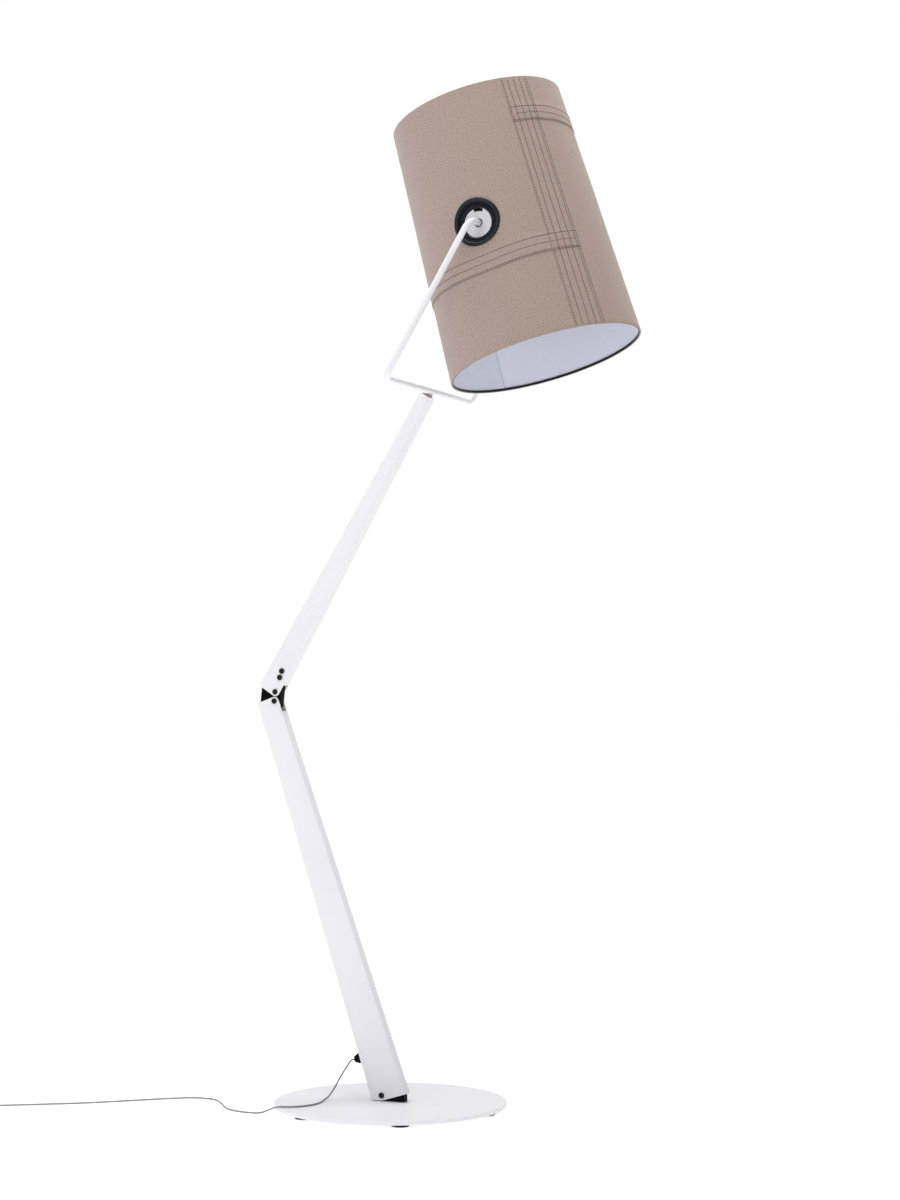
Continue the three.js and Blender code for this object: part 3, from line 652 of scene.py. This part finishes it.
# ---- shade: cloth ----
# Angles are degrees round the shade from its own X axis, and heights are along its own Z.
SLOPE = (SHADE_TOP - SHADE_BOTTOM) / (SHADE_HIGH - SHADE_LOW)
SEAM = -50.4  # the front felled seam's left edge; the back one is opposite
SEAM_WIDTH = 19.8
PLY = 0.75
CLOTH = 1.2
UPPER_FOLD, UPPER_TOP = 142.0, 166.0  # the folded bands' lower and upper edges
LOWER_FOLD, LOWER_TOP = -78.0, -51.3
SEAM_LINES = (4.3, 8.7, 13.1, 17.1, 18.8)  # sewn lines, in degrees from the seam's left edge
EDGE_LINE = 0.75
UPPER_LINES = (UPPER_TOP, (UPPER_FOLD + UPPER_TOP) / 2 + 0.5, UPPER_FOLD + 2.2)
LOWER_LINES = (LOWER_TOP, (LOWER_FOLD + LOWER_TOP) / 2 + 1.2, LOWER_FOLD + 2.2)
UPPER_STARTS = (0.6, 3.0, 0.6)
SEWN_LOW, SEWN_HIGH = -205.5, 215.5
BAND_SPAN = 199  # degrees covered by each folded band
HOLE, GROMMET_RADIUS = 36.0, 39.5
LAP = 138.7


def shade_radius(z):
    return SHADE_BOTTOM + (z - SHADE_LOW) * SLOPE


def turn_from(angle, start):
    """Degrees from start, from -90 to 270."""
    return (np.asarray(angle, float) - start + 90) % 360 - 90


def drift(angle, z):
    """How far the horizontal folds wander up or down from true rings."""
    a = (np.asarray(angle, float) + 180) % 360 - 180
    low = -4.6 * np.exp(-(((a + 92) / 24) ** 2)) * np.exp(-(((z + 66) / 60) ** 2))
    high = -3.6 * smoothstep(-30, 8, a) * (1 - smoothstep(30, 80, a)) * np.exp(-(((z - 150) / 50) ** 2))
    return low + high


def from_seam(angle):
    """Degrees from the nearer seam's left edge, from -90 to 90."""
    return (np.asarray(angle, float) - SEAM + 90) % 180 - 90


def bump(x, middle, width):
    """1 at the middle, falling off smoothly to either side."""
    return math.exp(-(((x - middle) / width) ** 2))


def plies(angle, z):
    """The extra thickness where panels overlap: two seams, and a folded band on each side."""
    q = from_seam(angle)
    seam = smoothstep(-0.13, 0.13, q) * (1 - smoothstep(SEAM_WIDTH - 0.5, SEAM_WIDTH + 0.6, q))
    p = turn_from(angle, SEAM)
    upper = smoothstep(-0.13, 0.13, p) * (1 - smoothstep(199.1, 199.5, p))
    upper = upper * smoothstep(UPPER_FOLD - 0.25, UPPER_FOLD + 0.25, z) * (1 - smoothstep(167, 172, z))
    r = turn_from(angle, SEAM + 180)
    lower = smoothstep(-0.13, 0.13, r) * (1 - smoothstep(198.7, 199.1, r))
    lower = lower * smoothstep(LOWER_FOLD - 0.25, LOWER_FOLD + 0.25, z) * (1 - smoothstep(-50.5, -46, z))
    return PLY * (seam + upper + lower)


def ripple(angle, z):
    """The cloth's slight unevenness."""
    a = math.radians(angle)
    at = Vector((math.cos(a) * 2.1, math.sin(a) * 2.1, z / 75))
    return 0.3 * noise.noise(at) + 0.12 * noise.noise(at * 3.3)


def on_cloth(angle, z, lift=0.0):
    """A point on the cloth's outer face, raised by lift, in the shade's frame."""
    radius = shade_radius(z) + plies(angle, z) + ripple(angle, z) - 0.55 + lift
    a = math.radians(angle)
    return (radius * math.cos(a), radius * math.sin(a), z + float(drift(angle, z)))


def cloth_columns():
    angles = list(np.arange(0, 360, 1.25))
    for start in (SEAM, SEAM + 180):
        angles += [start + k for k in (-0.5, -0.14, 0.14, 18.7, 19.1, 19.5)]
        angles += [start + (SEAM_WIDTH - 0.5), start + (SEAM_WIDTH + 0.6)]
        for line in (*SEAM_LINES, EDGE_LINE):
            angles += [start + line - 0.28, start + line, start + line + 0.28]
    angles = sorted(a % 360 for a in angles)
    return [a for i, a in enumerate(angles) if i == 0 or a - angles[i - 1] > 0.1]


def cloth_rows():
    heights = list(np.arange(-204, 217, 4.0))
    for fold, top in ((UPPER_FOLD, UPPER_TOP), (LOWER_FOLD, LOWER_TOP)):
        heights += [fold - 0.3, fold + 0.3, fold + 1.5, fold + 2.5, fold + 3.5, top - 1, top, top + 1]
        heights += [(fold + top) / 2 - 1, (fold + top) / 2, (fold + top) / 2 + 1]
    heights = sorted(heights)
    return [h for i, h in enumerate(heights) if i == 0 or h - heights[i - 1] > 0.35]


def stitch_lines():
    """(fixed angle or None, fixed height or None, from, to) of every sewn line."""
    lines = []
    for start in (SEAM, SEAM + 180):
        lines += [(start + k, None, SEWN_LOW, SEWN_HIGH) for k in SEAM_LINES]
        lines.append((start + EDGE_LINE, None, SEWN_LOW, LOWER_FOLD - 1.5))
        lines.append((start + EDGE_LINE, None, LOWER_TOP, SEWN_HIGH))
    for height, start in zip(UPPER_LINES, UPPER_STARTS):
        lines.append((None, height, SEAM + start, SEAM + 198.6))
    for height in LOWER_LINES:
        lines.append((None, height, SEAM - 179.6, SEAM + 18.6))
    return lines


def dimples(angle, z):
    """The cloth is drawn in along each sewn line."""
    q = from_seam(angle)
    depths = [bump(q, k, 0.24) for k in (*SEAM_LINES, EDGE_LINE)]
    for start, lines in ((SEAM, UPPER_LINES), (SEAM + 180, LOWER_LINES)):
        if 0 < turn_from(angle, start) < BAND_SPAN:
            depths += [bump(z, line, 0.7) for line in lines]
    return -0.22 * max(depths)


def hem(height, sign):
    """The cloth's edge turned over inwards: (height, inset) from the outer face to the inner face."""
    steps = [(0.9, 0.05), (0.25, 0.45), (0.0, 1.1), (0.0, 1.7)]
    steps += [(0.25, 2.2), (0.9, 2.5), (1.6, 2.4), (2.1, 1.9)]
    return [(height - sign * a, b) for a, b in steps]


def fold_shadow(angle, z):
    """How strongly the cloth's folded edges and sewn lines are darkened with painted shadow, from 0 to 1."""
    q = from_seam(angle)
    sewn = max(bump(q, k, 0.3) for k in SEAM_LINES)
    shares = [0.42 * sewn, 0.6 * bump(q, -0.05, 0.34)]
    for start, fold in ((SEAM, UPPER_FOLD), (SEAM + 180, LOWER_FOLD)):
        if 0 < turn_from(angle, start) < BAND_SPAN:
            shares.append(bump(z, fold, 0.8))
    return max(shares)


def lap_shadow(angle, z):
    """The lining's lap line, and the duller strip behind it, from 0 to 1."""
    line = bump(angle, LAP, 0.6)
    strip = float(smoothstep(LAP, LAP + 2, angle) * (1 - smoothstep(LAP + 50, LAP + 75, angle)))
    return max(line, 0.34 * strip)


def sheet_mesh(name, columns, rings, radius_at, shadow, cloth_uv):
    """rings is a closed profile of (z, inset, outer?) and columns the angles."""
    points = []
    for z, inset, outer in rings:
        for angle in columns:
            a = math.radians(angle)
            radius = radius_at(angle, z, inset, outer)
            points.append((radius * math.cos(a), radius * math.sin(a), z + float(drift(angle, z))))
    faces = grid_faces(len(rings), len(columns), wrap_rows=True)
    obj = mesh_object(name, points, faces, SHADE)
    # Each point's share of painted shadow: the cloth's folds and sewn lines, or the lining's lap line and the
    # duller strip behind it.
    crease = obj.data.attributes.new("crease", "FLOAT", "POINT")
    crease.data.foreach_set("value", [shadow(angle, z) for z, _, _ in rings for angle in columns])
    if cloth_uv:
        layer = obj.data.uv_layers.new(name="cloth")
        n = len(columns)
        mean = (SHADE_BOTTOM + SHADE_TOP) / 2 * MM
        run = 0.0
        along = []
        for i, (z, inset, _) in enumerate(rings):
            if i:
                run += math.hypot(z - rings[i - 1][0], inset - rings[i - 1][1])
            along.append(run * MM)
        closing = run * MM + 0.01
        for polygon in obj.data.polygons:
            for loop in polygon.loop_indices:
                vertex = obj.data.loops[loop].vertex_index
                row, column = divmod(vertex, n)
                face_row, face_column = divmod(polygon.index, n)
                angle = columns[column] + (360 if face_column == n - 1 and column == 0 else 0)
                v = closing if face_row == len(rings) - 1 and row == 0 else along[row]
                layer.data[loop].uv = (math.radians(angle) * mean, v)
    return obj


def drill(obj):
    """Both grommet holes, through the cloth along Y."""
    points, faces = lathe([(0, -200), (HOLE, -200), (HOLE, 200), (0, 200)], 96)
    tool = mesh_object("drill", points, faces, SHADE @ Matrix.Rotation(math.pi / 2, 4, "X"))
    return boolean(obj, tool, "DIFFERENCE")


def make_cloth():
    rows = cloth_rows()
    rings = [(z, 0.0, True) for z in rows]
    rings += [(z, inset, False) for z, inset in hem(SHADE_HIGH, 1)]
    rings += [(z, CLOTH, False) for z in np.arange(212, -206, -8.0)]
    rings += [(z, inset, False) for z, inset in reversed(hem(SHADE_LOW, -1))]

    def radius_at(angle, z, inset, outer):
        if outer:
            return shade_radius(z) - 0.55 + plies(angle, z) + ripple(angle, z) + dimples(angle, z)
        share = max(0.0, 1 - inset / 1.2)
        return shade_radius(z) - inset + share * (ripple(angle, z) - 0.4 + float(plies(angle, z)))

    cloth = sheet_mesh("shade_cloth", cloth_columns(), rings, radius_at, fold_shadow, True)
    drill(cloth)
    return paint(smooth(cloth, 50), CANVAS, "shade", ["shade_fabric"])


def make_lining():
    near_lap = {LAP + k for k in (-1.2, -0.6, -0.2, 0.0, 0.2, 0.6, 1.2, 2.0, 5.0, 6.2)}
    columns = sorted(set(np.arange(0, 360, 2.5)) | near_lap)
    inset, thick, low, high = 1.5, 0.6, -205.8, 215.6
    rings = [(z, inset, True) for z in np.arange(low, 216, 10.0)]
    rings += [(high, inset, True), (high, inset + thick, False)]
    rings += [(z, inset + thick, False) for z in np.arange(210, -206, -10.0)]
    rings += [(low, inset + thick, False)]

    def radius_at(angle, z, inset, outer):
        lapped = smoothstep(LAP - 0.2, LAP + 0.2, angle) * (1 - smoothstep(LAP + 5.0, LAP + 6.2, angle))
        return shade_radius(z) - inset - (0 if outer else 1.0 * float(lapped))

    lining = sheet_mesh("shade_liner", columns, rings, radius_at, lap_shadow, False)
    drill(lining)
    return paint(smooth(lining, 40), LINING, "shade", ["shade_lining"])


def make_stitches():
    """Every stitch is a short raised length of thread that dips into the cloth at both ends."""
    length, pitch, thick, sides = 3.5, 4.5, 0.55, 6  # thick is the thread's radius
    half = [(-1.0, 0.0, -0.35), (-0.86, 0.62, -0.18), (0.0, 1.0, 0.16)]
    template = half + [(-share, fat, lift) for share, fat, lift in half[-2::-1]]
    points, faces = [], []
    for angle, height, low, high in stitch_lines():
        radius = shade_radius(height if height is not None else 0)
        step = pitch if angle is not None else math.degrees(pitch / radius)
        for k in range(int((high - low) / step)):
            at = low + step * (k + 0.5)
            a, z = (angle, at) if angle is not None else (at, height)
            x = on_cloth(a, z)[0]
            if math.hypot(x, z) < GROMMET_RADIUS:
                continue
            here = Vector(on_cloth(a, z, -0.1))
            da, dz = (0, 1) if angle is not None else (0.5, 0)
            forward = Vector(on_cloth(a + da, z + dz, -0.1)) - Vector(on_cloth(a - da, z - dz, -0.1))
            forward.normalize()
            out = Vector((math.cos(math.radians(a)), math.sin(math.radians(a)), 0))
            out = (out - forward * out.dot(forward)).normalized()
            side = forward.cross(out)
            base = len(points)
            for share, fat, lift in template:
                centre = here + forward * (share * length / 2) + out * lift
                if fat == 0:
                    points.append(tuple(centre))
                    continue
                for j in range(sides):
                    b = 2 * math.pi * j / sides
                    points.append(tuple(centre + (side * math.cos(b) + out * math.sin(b)) * thick * fat))
            for j in range(sides):
                n = (j + 1) % sides
                faces.append((base, base + 1 + n, base + 1 + j))
                for ring in (0, 1):
                    start = base + 1 + ring * sides
                    faces.append((start + j, start + n, start + sides + n, start + sides + j))
                last = base + 1 + 2 * sides
                faces.append((last + j, last + n, base + 1 + 3 * sides))
    stitches = mesh_object("shade_stitching", points, faces, SHADE, sharp=80)
    return paint(stitches, THREAD, "shade")


cloth = make_cloth()
lining = make_lining()
stitches = make_stitches()


# ---- shade: rings, grommets, hubs and the parts inside ----
def shade_band(name, z, node):
    """The dark ring that stiffens the shade's edge, just inside the hem."""
    outer = shade_radius(z) - 2.7
    profile = [(outer - 1.4, z - 2.0), (outer, z - 2.0), (outer, z + 2.0), (outer - 1.4, z + 2.0)]
    band = turned(name, profile, SHADE, 0.5, 288, closed=True)
    return paint(band, BLACK_STEEL, "shade", [node])


shade_band("bottom_band", SHADE_LOW + 2.4, "bottom_ring")
shade_band("top_band", SHADE_HIGH - 2.4, "top_ring")

INNER = 23.6


def grommet_profile():
    """(radius, height, corner radius): the back, the outer lip, then the two raised rings."""
    face = shade_radius(0)
    back = [(INNER, 137.8, 0.5), (29.5, 139.5, 1.5), (35.4, face - 4.5, 0.6), (35.4, face + 0.15, 0.2)]
    lip = [(38.9, -0.05, 0.25), (38.9, 0.9, 0.7), (37.4, 2.1, 1.2), (34.2, 2.3, 1.2), (32.2, 0.9, 0.7)]
    outer_ring = [(31.6, -1.3, 0.4), (31.0, 0.3, 0.3), (30.1, 0.3, 0.3), (29.5, -1.8, 0.4)]
    inner_ring = [(28.9, -4.4, 0.5), (27.6, -5.6, 0.4), (27.0, -4.2, 0.3), (26.3, -4.2, 0.3)]
    mouth = [(25.8, -5.9, 0.4), (24.6, -7.0, 0.6), (INNER, -7.6, 0.5)]
    front = [(r, face + h, corner) for r, h, corner in lip + outer_ring + inner_ring + mouth]
    return round_profile(back + front, 0.5, 4, closed=True)


def make_grommet(side, sign, node):
    """A rubber eyelet whose lip follows the curve of the shade, with raised rings round its mouth."""
    face = shade_radius(0)
    points, faces = lathe(grommet_profile(), 144, closed=True)
    made = []
    for px, py, h in points:
        x, z = px, -py
        share = float(smoothstep(INNER + 2, 31, math.hypot(x, z)))
        surface = math.sqrt(shade_radius(z) ** 2 - x * x)
        y = -(h + share * (surface - face))
        made.append((x, y, z) if sign < 0 else (-x, -y, z))
    grommet = mesh_object(f"grommet_{side}_eyelet", made, faces, SHADE, sharp=60)
    bm = bmesh.new()
    bm.from_mesh(grommet.data)
    bmesh.ops.recalc_face_normals(bm, faces=bm.faces)
    bm.to_mesh(grommet.data)
    bm.free()
    return paint(grommet, RUBBER, "shade", [node])


HUB, HUB_FACE, MOUTH = 22.8, 142.0, 6.9
NOTCH_AT, NOTCH_HALF, NOTCH_FROM = 90 - 16.55, 21, 18.4


def sector(low, high, start, end, bottom, top, steps=10):
    """A flat piece of a ring, as points and faces."""
    angles = [math.radians(start + (end - start) * k / steps) for k in range(steps + 1)]
    outline = [(low * math.cos(a), low * math.sin(a)) for a in angles]
    outline += [(high * math.cos(a), high * math.sin(a)) for a in reversed(angles)]
    n = len(outline)
    points = [(x, y, bottom) for x, y in outline] + [(x, y, top) for x, y in outline]
    faces = [(i, n + i, n + (i + 1) % n, (i + 1) % n) for i in range(n)]
    strip = [(k, k + 1, n - 2 - k, n - 1 - k) for k in range(steps)]
    faces += strip
    faces += [tuple(n + v for v in reversed(f)) for f in strip]
    return points, faces


def make_hub(side, sign, node):
    """A dished white disc with a notch in its rim. A black piece in the notch, and a black ring at the foot
    of the mouth where the fork's end goes in, are painted shadow standing for the dark gaps there.
    """
    turn = SHADE @ Matrix.Rotation(-sign * math.pi / 2, 4, "X")
    profile = [
        (0, 124), (12, 124, 0.6), (12, 136, 0.4), (HUB, 136, 0.5), (HUB, HUB_FACE - 1.6, 0.2),
        (MOUTH, HUB_FACE - 1.5, 0.5), (MOUTH, HUB_FACE - 4.5, 0.2), (5.4, HUB_FACE - 4.5, 0),
        (5.4, 127.4, 0), (0, 127.4),
    ]
    lip = [(20.7, HUB_FACE - 1.9), (HUB, HUB_FACE - 1.9), (HUB, HUB_FACE, 0.8), (21.0, HUB_FACE, 0.5)]
    hub = turned(f"hub_{side}_disc", profile, turn, 0.4, 128, steps=4)
    up = NOTCH_AT if sign < 0 else 180 - NOTCH_AT
    up = -up if sign > 0 else up
    points, faces = sector(NOTCH_FROM, 26, up - NOTCH_HALF, up + NOTCH_HALF, HUB_FACE - 3.4, HUB_FACE + 3)
    rim = turned(f"hub_{side}_rim", lip, turn, 0.4, 128, closed=True)
    for obj in (hub, rim):
        boolean(obj, mesh_object("notch", points, faces, turn), "DIFFERENCE")
    paint(smooth(hub, 40), SHADOWED_HUB_PAINT, "shade", [node])
    paint(smooth(rim, 40), PAINT, "shade")
    # Painted shadow: a black sector fills the notch, standing for the dark gap behind it.
    start, end = up - NOTCH_HALF + 0.3, up + NOTCH_HALF - 0.3
    points, faces = sector(NOTCH_FROM + 0.1, HUB + 0.4, start, end, HUB_FACE - 3.3, HUB_FACE - 1.7)
    paint(mesh_object(f"hub_{side}_notch_shadow", points, faces, turn), BLACK, "shade")
    # Painted shadow: a black ring deep in the mouth, round the fork's end, standing for the dark gap in the
    # bore.
    wide = MOUTH - 0.1
    bore_shadow = [(5.35, HUB_FACE - 4.4), (wide, HUB_FACE - 4.4), (wide, HUB_FACE - 3.2), (5.35, HUB_FACE - 3.2)]
    paint(turned(f"hub_{side}_bush", bore_shadow, turn, 0.3, 64, closed=True), BLACK, "shade")


for side, sign in (("near", -1), ("far", 1)):
    make_grommet(side, sign, f"grommet_{side}")
    make_hub(side, sign, f"hub_{side}")

ALONG_Y = SHADE @ Matrix.Rotation(math.pi / 2, 4, "X")
BRIDGE_HALF = 123.7
bridge = turned(
    "bridge_rod", [(0, -BRIDGE_HALF), (4, -BRIDGE_HALF, 0.6), (4, BRIDGE_HALF, 0.6), (0, BRIDGE_HALF)],
    ALONG_Y, 0.6, 48,
)
paint(bridge, PAINT, "shade", ["shade_bridge"])

HOLDER_TOP, HOLDER_LENGTH, HOLDER_RADIUS = -4.3, 58, 19


def holder_profile():
    """A lamp holder's skirt with fine screw ribs below its cap."""
    low, inner, root = HOLDER_TOP - HOLDER_LENGTH, HOLDER_RADIUS - 3.5, HOLDER_RADIUS - 0.8
    outer = [(inner, HOLDER_TOP - 10, 0.5), (inner, low, 0.8), (HOLDER_RADIUS, low, 0.8)]
    z = low + 6
    while z < HOLDER_TOP - 26:
        outer += [(HOLDER_RADIUS, z, 0.3), (root, z + 0.7, 0.3)]
        outer += [(root, z + 1.6, 0.3), (HOLDER_RADIUS, z + 2.3, 0.3)]
        z += 4
    outer += [(HOLDER_RADIUS, HOLDER_TOP - 8, 3), (HOLDER_RADIUS - 6, HOLDER_TOP, 2), (0, HOLDER_TOP)]
    return [(0, HOLDER_TOP - 10)] + outer


holder = turned("lamp_holder_body", holder_profile(), SHADE, 0.4, 96)
paint(holder, BLACK, "shade", ["lamp_holder"])
BULB_RADIUS = 30
CAP_LOW, CAP_HIGH = HOLDER_TOP - HOLDER_LENGTH + 6, HOLDER_TOP - 14
cap = [(0, CAP_LOW), (12.6, CAP_LOW, 0.4)]
for k in range(7):
    z = CAP_LOW + 3 + 4 * k
    cap += [(12.2, z, 0.6), (13.1, z + 1.4, 0.8), (12.2, z + 2.8, 0.6)]
cap += [(12.4, CAP_HIGH - 2, 1), (6, CAP_HIGH, 1), (0, CAP_HIGH)]
paint(turned("bulb_screw_cap", cap, SHADE, 0.5, 96), ZINC, "shade", ["bulb_cap"])


def bulb_profile():
    """A globe that narrows to the neck in the screw cap."""
    neck = CAP_LOW - 0.3
    middle = neck - 62
    angles = np.radians(np.linspace(-88, 40, 40))
    globe = [(BULB_RADIUS * math.cos(a), middle + BULB_RADIUS * math.sin(a)) for a in angles]
    shoulder = [(22.98, middle + 19.28, 0), (17.2, middle + 32, 0), (13.9, neck - 14, 0), (12.6, neck, 0)]
    sides = through(shoulder, 2.5)
    return [(0, middle - BULB_RADIUS), *globe, *[(r, z) for r, z, _ in sides[1:]], (0, neck)]


points, faces = lathe(bulb_profile(), 96)
bulb = mesh_object("bulb_envelope", points, faces, SHADE, sharp=50)
paint(bulb, BULB, "shade", ["bulb_glass"])


# ---- cord's fittings ----
def loft(name, sections, matrix, sharp=40):
    """Closed sections of equal count, joined in order and capped at both ends."""
    n = len(sections[0])
    points = [p for section in sections for p in section]
    faces = grid_faces(len(sections), n)
    faces.append(tuple(reversed(range(n))))
    faces.append(tuple(range(len(points) - n, len(points))))
    return mesh_object(name, points, faces, matrix, sharp)


def squircle(x, half_width, half_height, power, middle, count=48):
    """A rounded rectangle across X: the higher the power, the squarer."""
    made = []
    for k in range(count):
        a = 2 * math.pi * k / count
        across, up = (math.copysign(abs(v) ** (2 / power), v) for v in (math.cos(a), math.sin(a)))
        made.append((x, half_width * across, middle + half_height * up))
    return made


def make_plug():
    """A moulded two-pin plug: a squared nose, three finger grooves and a tapered tail."""
    at = Matrix.Translation((PLUG_AT[0] * MM, PLUG_AT[1] * MM, 0))
    sections = []
    for k in range(4 * PLUG_HALF + 1):
        x = -PLUG_HALF + k / 2
        share = float(smoothstep(-PLUG_HALF, -3, x))
        wide, high = 4.4 + 4.6 * share, 4.2 + 2.7 * share
        groove = 0.55 * max(bump(x, g, 0.9) for g in (-9, -5.4, -1.8))
        nose = float(smoothstep(PLUG_HALF - 1.6, PLUG_HALF, x)) * 0.9
        sections.append(squircle(x, wide - groove - nose, high - groove - nose, 2.4 + 2.2 * share, PLUG_Z))
    body = paint(loft("plug_moulding", sections, at), GREY, "base", ["plug_body"])
    return [body, keep("plug_pin_1", ZINC, 0.3), keep("plug_pin_2", ZINC, 0.3)]


def relief(name, path, wide, narrow):
    """A ribbed sleeve that tapers along the cord."""
    path = np.asarray(path)
    share = np.linspace(0, 1, len(path))
    ribs = 0.35 * (0.5 + 0.5 * np.cos(share * 2 * np.pi * 6))
    radii = wide + (narrow - wide) * share - ribs * (1 - share)
    points, faces = tube_mesh(path, radii, 32)
    points = [(x, y, max(z, FLOOR_GAP)) for x, y, z in points]
    return paint(mesh_object(name, points, faces, sharp=60), GREY, "base")


def run_of(path, start, end):
    """Fine points on the cord's path between two distances along it."""
    run = distances_along(path)
    at = np.linspace(start, end, 64)
    return np.stack([np.interp(at, run, path[:, k]) for k in range(3)], axis=1)


def make_tie():
    """A soft strap round the coil's turns, on the side away from the plug."""
    a = math.radians(-128)
    outward = np.array((math.cos(a), math.sin(a), 0))
    centre = np.array((*COIL_AT, LYING + COIL_PITCH / 2)) + outward * COIL_RADIUS
    across, up = COIL_PITCH * 1.5 + 1.0, COIL_PITCH + 0.8
    ring = []
    for k in range(64):
        t = 2 * math.pi * k / 64
        c, s = math.cos(t), math.sin(t)
        point = centre + outward * across * math.copysign(abs(c) ** 0.6, c)
        ring.append(point + np.array((0, 0, 1)) * up * math.copysign(abs(s) ** 0.6, s))
    along = np.array((-math.sin(a), math.cos(a), 0))
    points, count = [], len(ring)
    middle = np.mean(ring, axis=0)
    for w, lift in ((-4.0, 0.0), (-3.6, 0.5), (3.6, 0.5), (4.0, 0.0), (3.6, -0.5), (-3.6, -0.5)):
        for p in ring:
            out = (p - middle) / np.linalg.norm(p - middle)
            q = p + along * w + out * lift
            q[2] = max(q[2], FLOOR_GAP)
            points.append(tuple(q))
    faces = grid_faces(6, count, wrap_rows=True)
    return paint(mesh_object("cord_tie", points, faces, sharp=50), BLACK, "base")


PLUG_END = length_of(CORD_PATH)
SWITCH_START = length_of(through(ROUTE, ROUTE_STEP))
SLEEVE_TIP = 1.75
fittings = make_plug()
fittings.append(relief("plug_relief", run_of(CORD_PATH, PLUG_END - 5, PLUG_END - 29), 3.9, SLEEVE_TIP))
for name, start, end in (("switch_relief_in", 2, -20), ("switch_relief_out", 77, 99)):
    sleeve = run_of(CORD_PATH, SWITCH_START + start, SWITCH_START + end)
    fittings.append(relief(name, sleeve, 2.8, SLEEVE_TIP))
fittings.append(make_tie())
for node, name in (("switch_base", "switch_lower_half"), ("switch_cover", "switch_upper_half")):
    fittings.append(paint(rounded_copy(node, name, 1.2, segments=3), GREY, "base", [node]))
fittings.append(keep("switch_button", BLACK, 0.5))
paint(cord, SHEATH)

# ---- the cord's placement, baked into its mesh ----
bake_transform(cord)


# ---- floor and light ----
BACKDROP_MIDDLE = 0.38  # added to a direction's X, so that 0 is the middle of the backdrop


def make_floor():
    """A pale floor that glows a little more far away, so that it stays as light as the backdrop."""
    points, faces = lathe([(r, 0) for r in (0, 300, 600, 1200, 2500, 6000, 40000)], 96)
    floor = mesh_object("studio_floor", points, [tuple(reversed(f)) for f in faces])
    s = Surface("studio_floor", specular=0.1)
    distance = s.node("VectorMath", {0: s.place}, operation="LENGTH").outputs["Value"]
    far = s.spread(distance, 0.5, 2.6, 0.90, 1.16)
    colour = s.mix(s.spread(s.noise(1.2, 3.0), 0.3, 0.7), (0.80, 0.80, 0.80), (0.83, 0.83, 0.83))
    s.tree.links.new(far, s.shader.inputs["Emission Strength"])
    s.shader.inputs["Emission Color"].default_value = (0.55, 0.55, 0.55, 1)
    floor.data.materials.append(s.finish(colour, s.spread(s.noise(3.0), 0.3, 0.7, 0.85, 0.95)))


def make_world():
    """A white backdrop, dimmer overhead and to either side."""
    world = bpy.data.worlds.new("studio")
    world.use_nodes = True
    tree = world.node_tree
    tree.nodes.clear()

    def node(kind, inputs, **settings):
        made = tree.nodes.new("ShaderNode" + kind)
        for key, value in settings.items():
            setattr(made, key, value)
        for key, value in inputs.items():
            if isinstance(value, bpy.types.NodeSocket):
                tree.links.new(value, made.inputs[key])
            else:
                made.inputs[key].default_value = value
        return made.outputs

    apart = node("SeparateXYZ", {0: node("TexCoord", {})["Generated"]})
    height = node("MapRange", {0: apart["Z"], 1: 0.30, 2: 0.62, 3: 1.0, 4: 0.5})[0]
    offset = node("Math", {0: apart["X"], 1: BACKDROP_MIDDLE}, operation="ADD")[0]
    aside = node("Math", {0: offset}, operation="ABSOLUTE")[0]
    side = node("MapRange", {0: aside, 1: 0.28, 2: 1.15, 3: 1.0, 4: 0.62})[0]
    strength = node("Math", {0: height, 1: side}, operation="MULTIPLY")[0]
    back = node("Background", {"Color": (1.0, 1.0, 1.0, 1), "Strength": strength})[0]
    node("OutputWorld", {"Surface": back})
    scene.world = world


def soft_light(name, place, aim, size, energy, colour=(1, 1, 1)):
    data = bpy.data.lights.new(name, "AREA")
    data.shape, data.size, data.energy, data.color = "DISK", size, energy, colour
    light = bpy.data.objects.new(name, data)
    scene.collection.objects.link(light)
    away = Vector(aim) - Vector(place)
    light.matrix_world = Matrix.Translation(place) @ away.to_track_quat("-Z", "Y").to_matrix().to_4x4()


make_floor()
make_world()
soft_light("top_light", (-0.1, 0.0, 3.7), (-0.1, 0.0, 0.0), 2.4, 105)
soft_light("key_light", (-0.5, -3.4, 2.2), (0.0, 0.0, 0.8), 1.8, 14)
scene.view_settings.view_transform = "Standard"
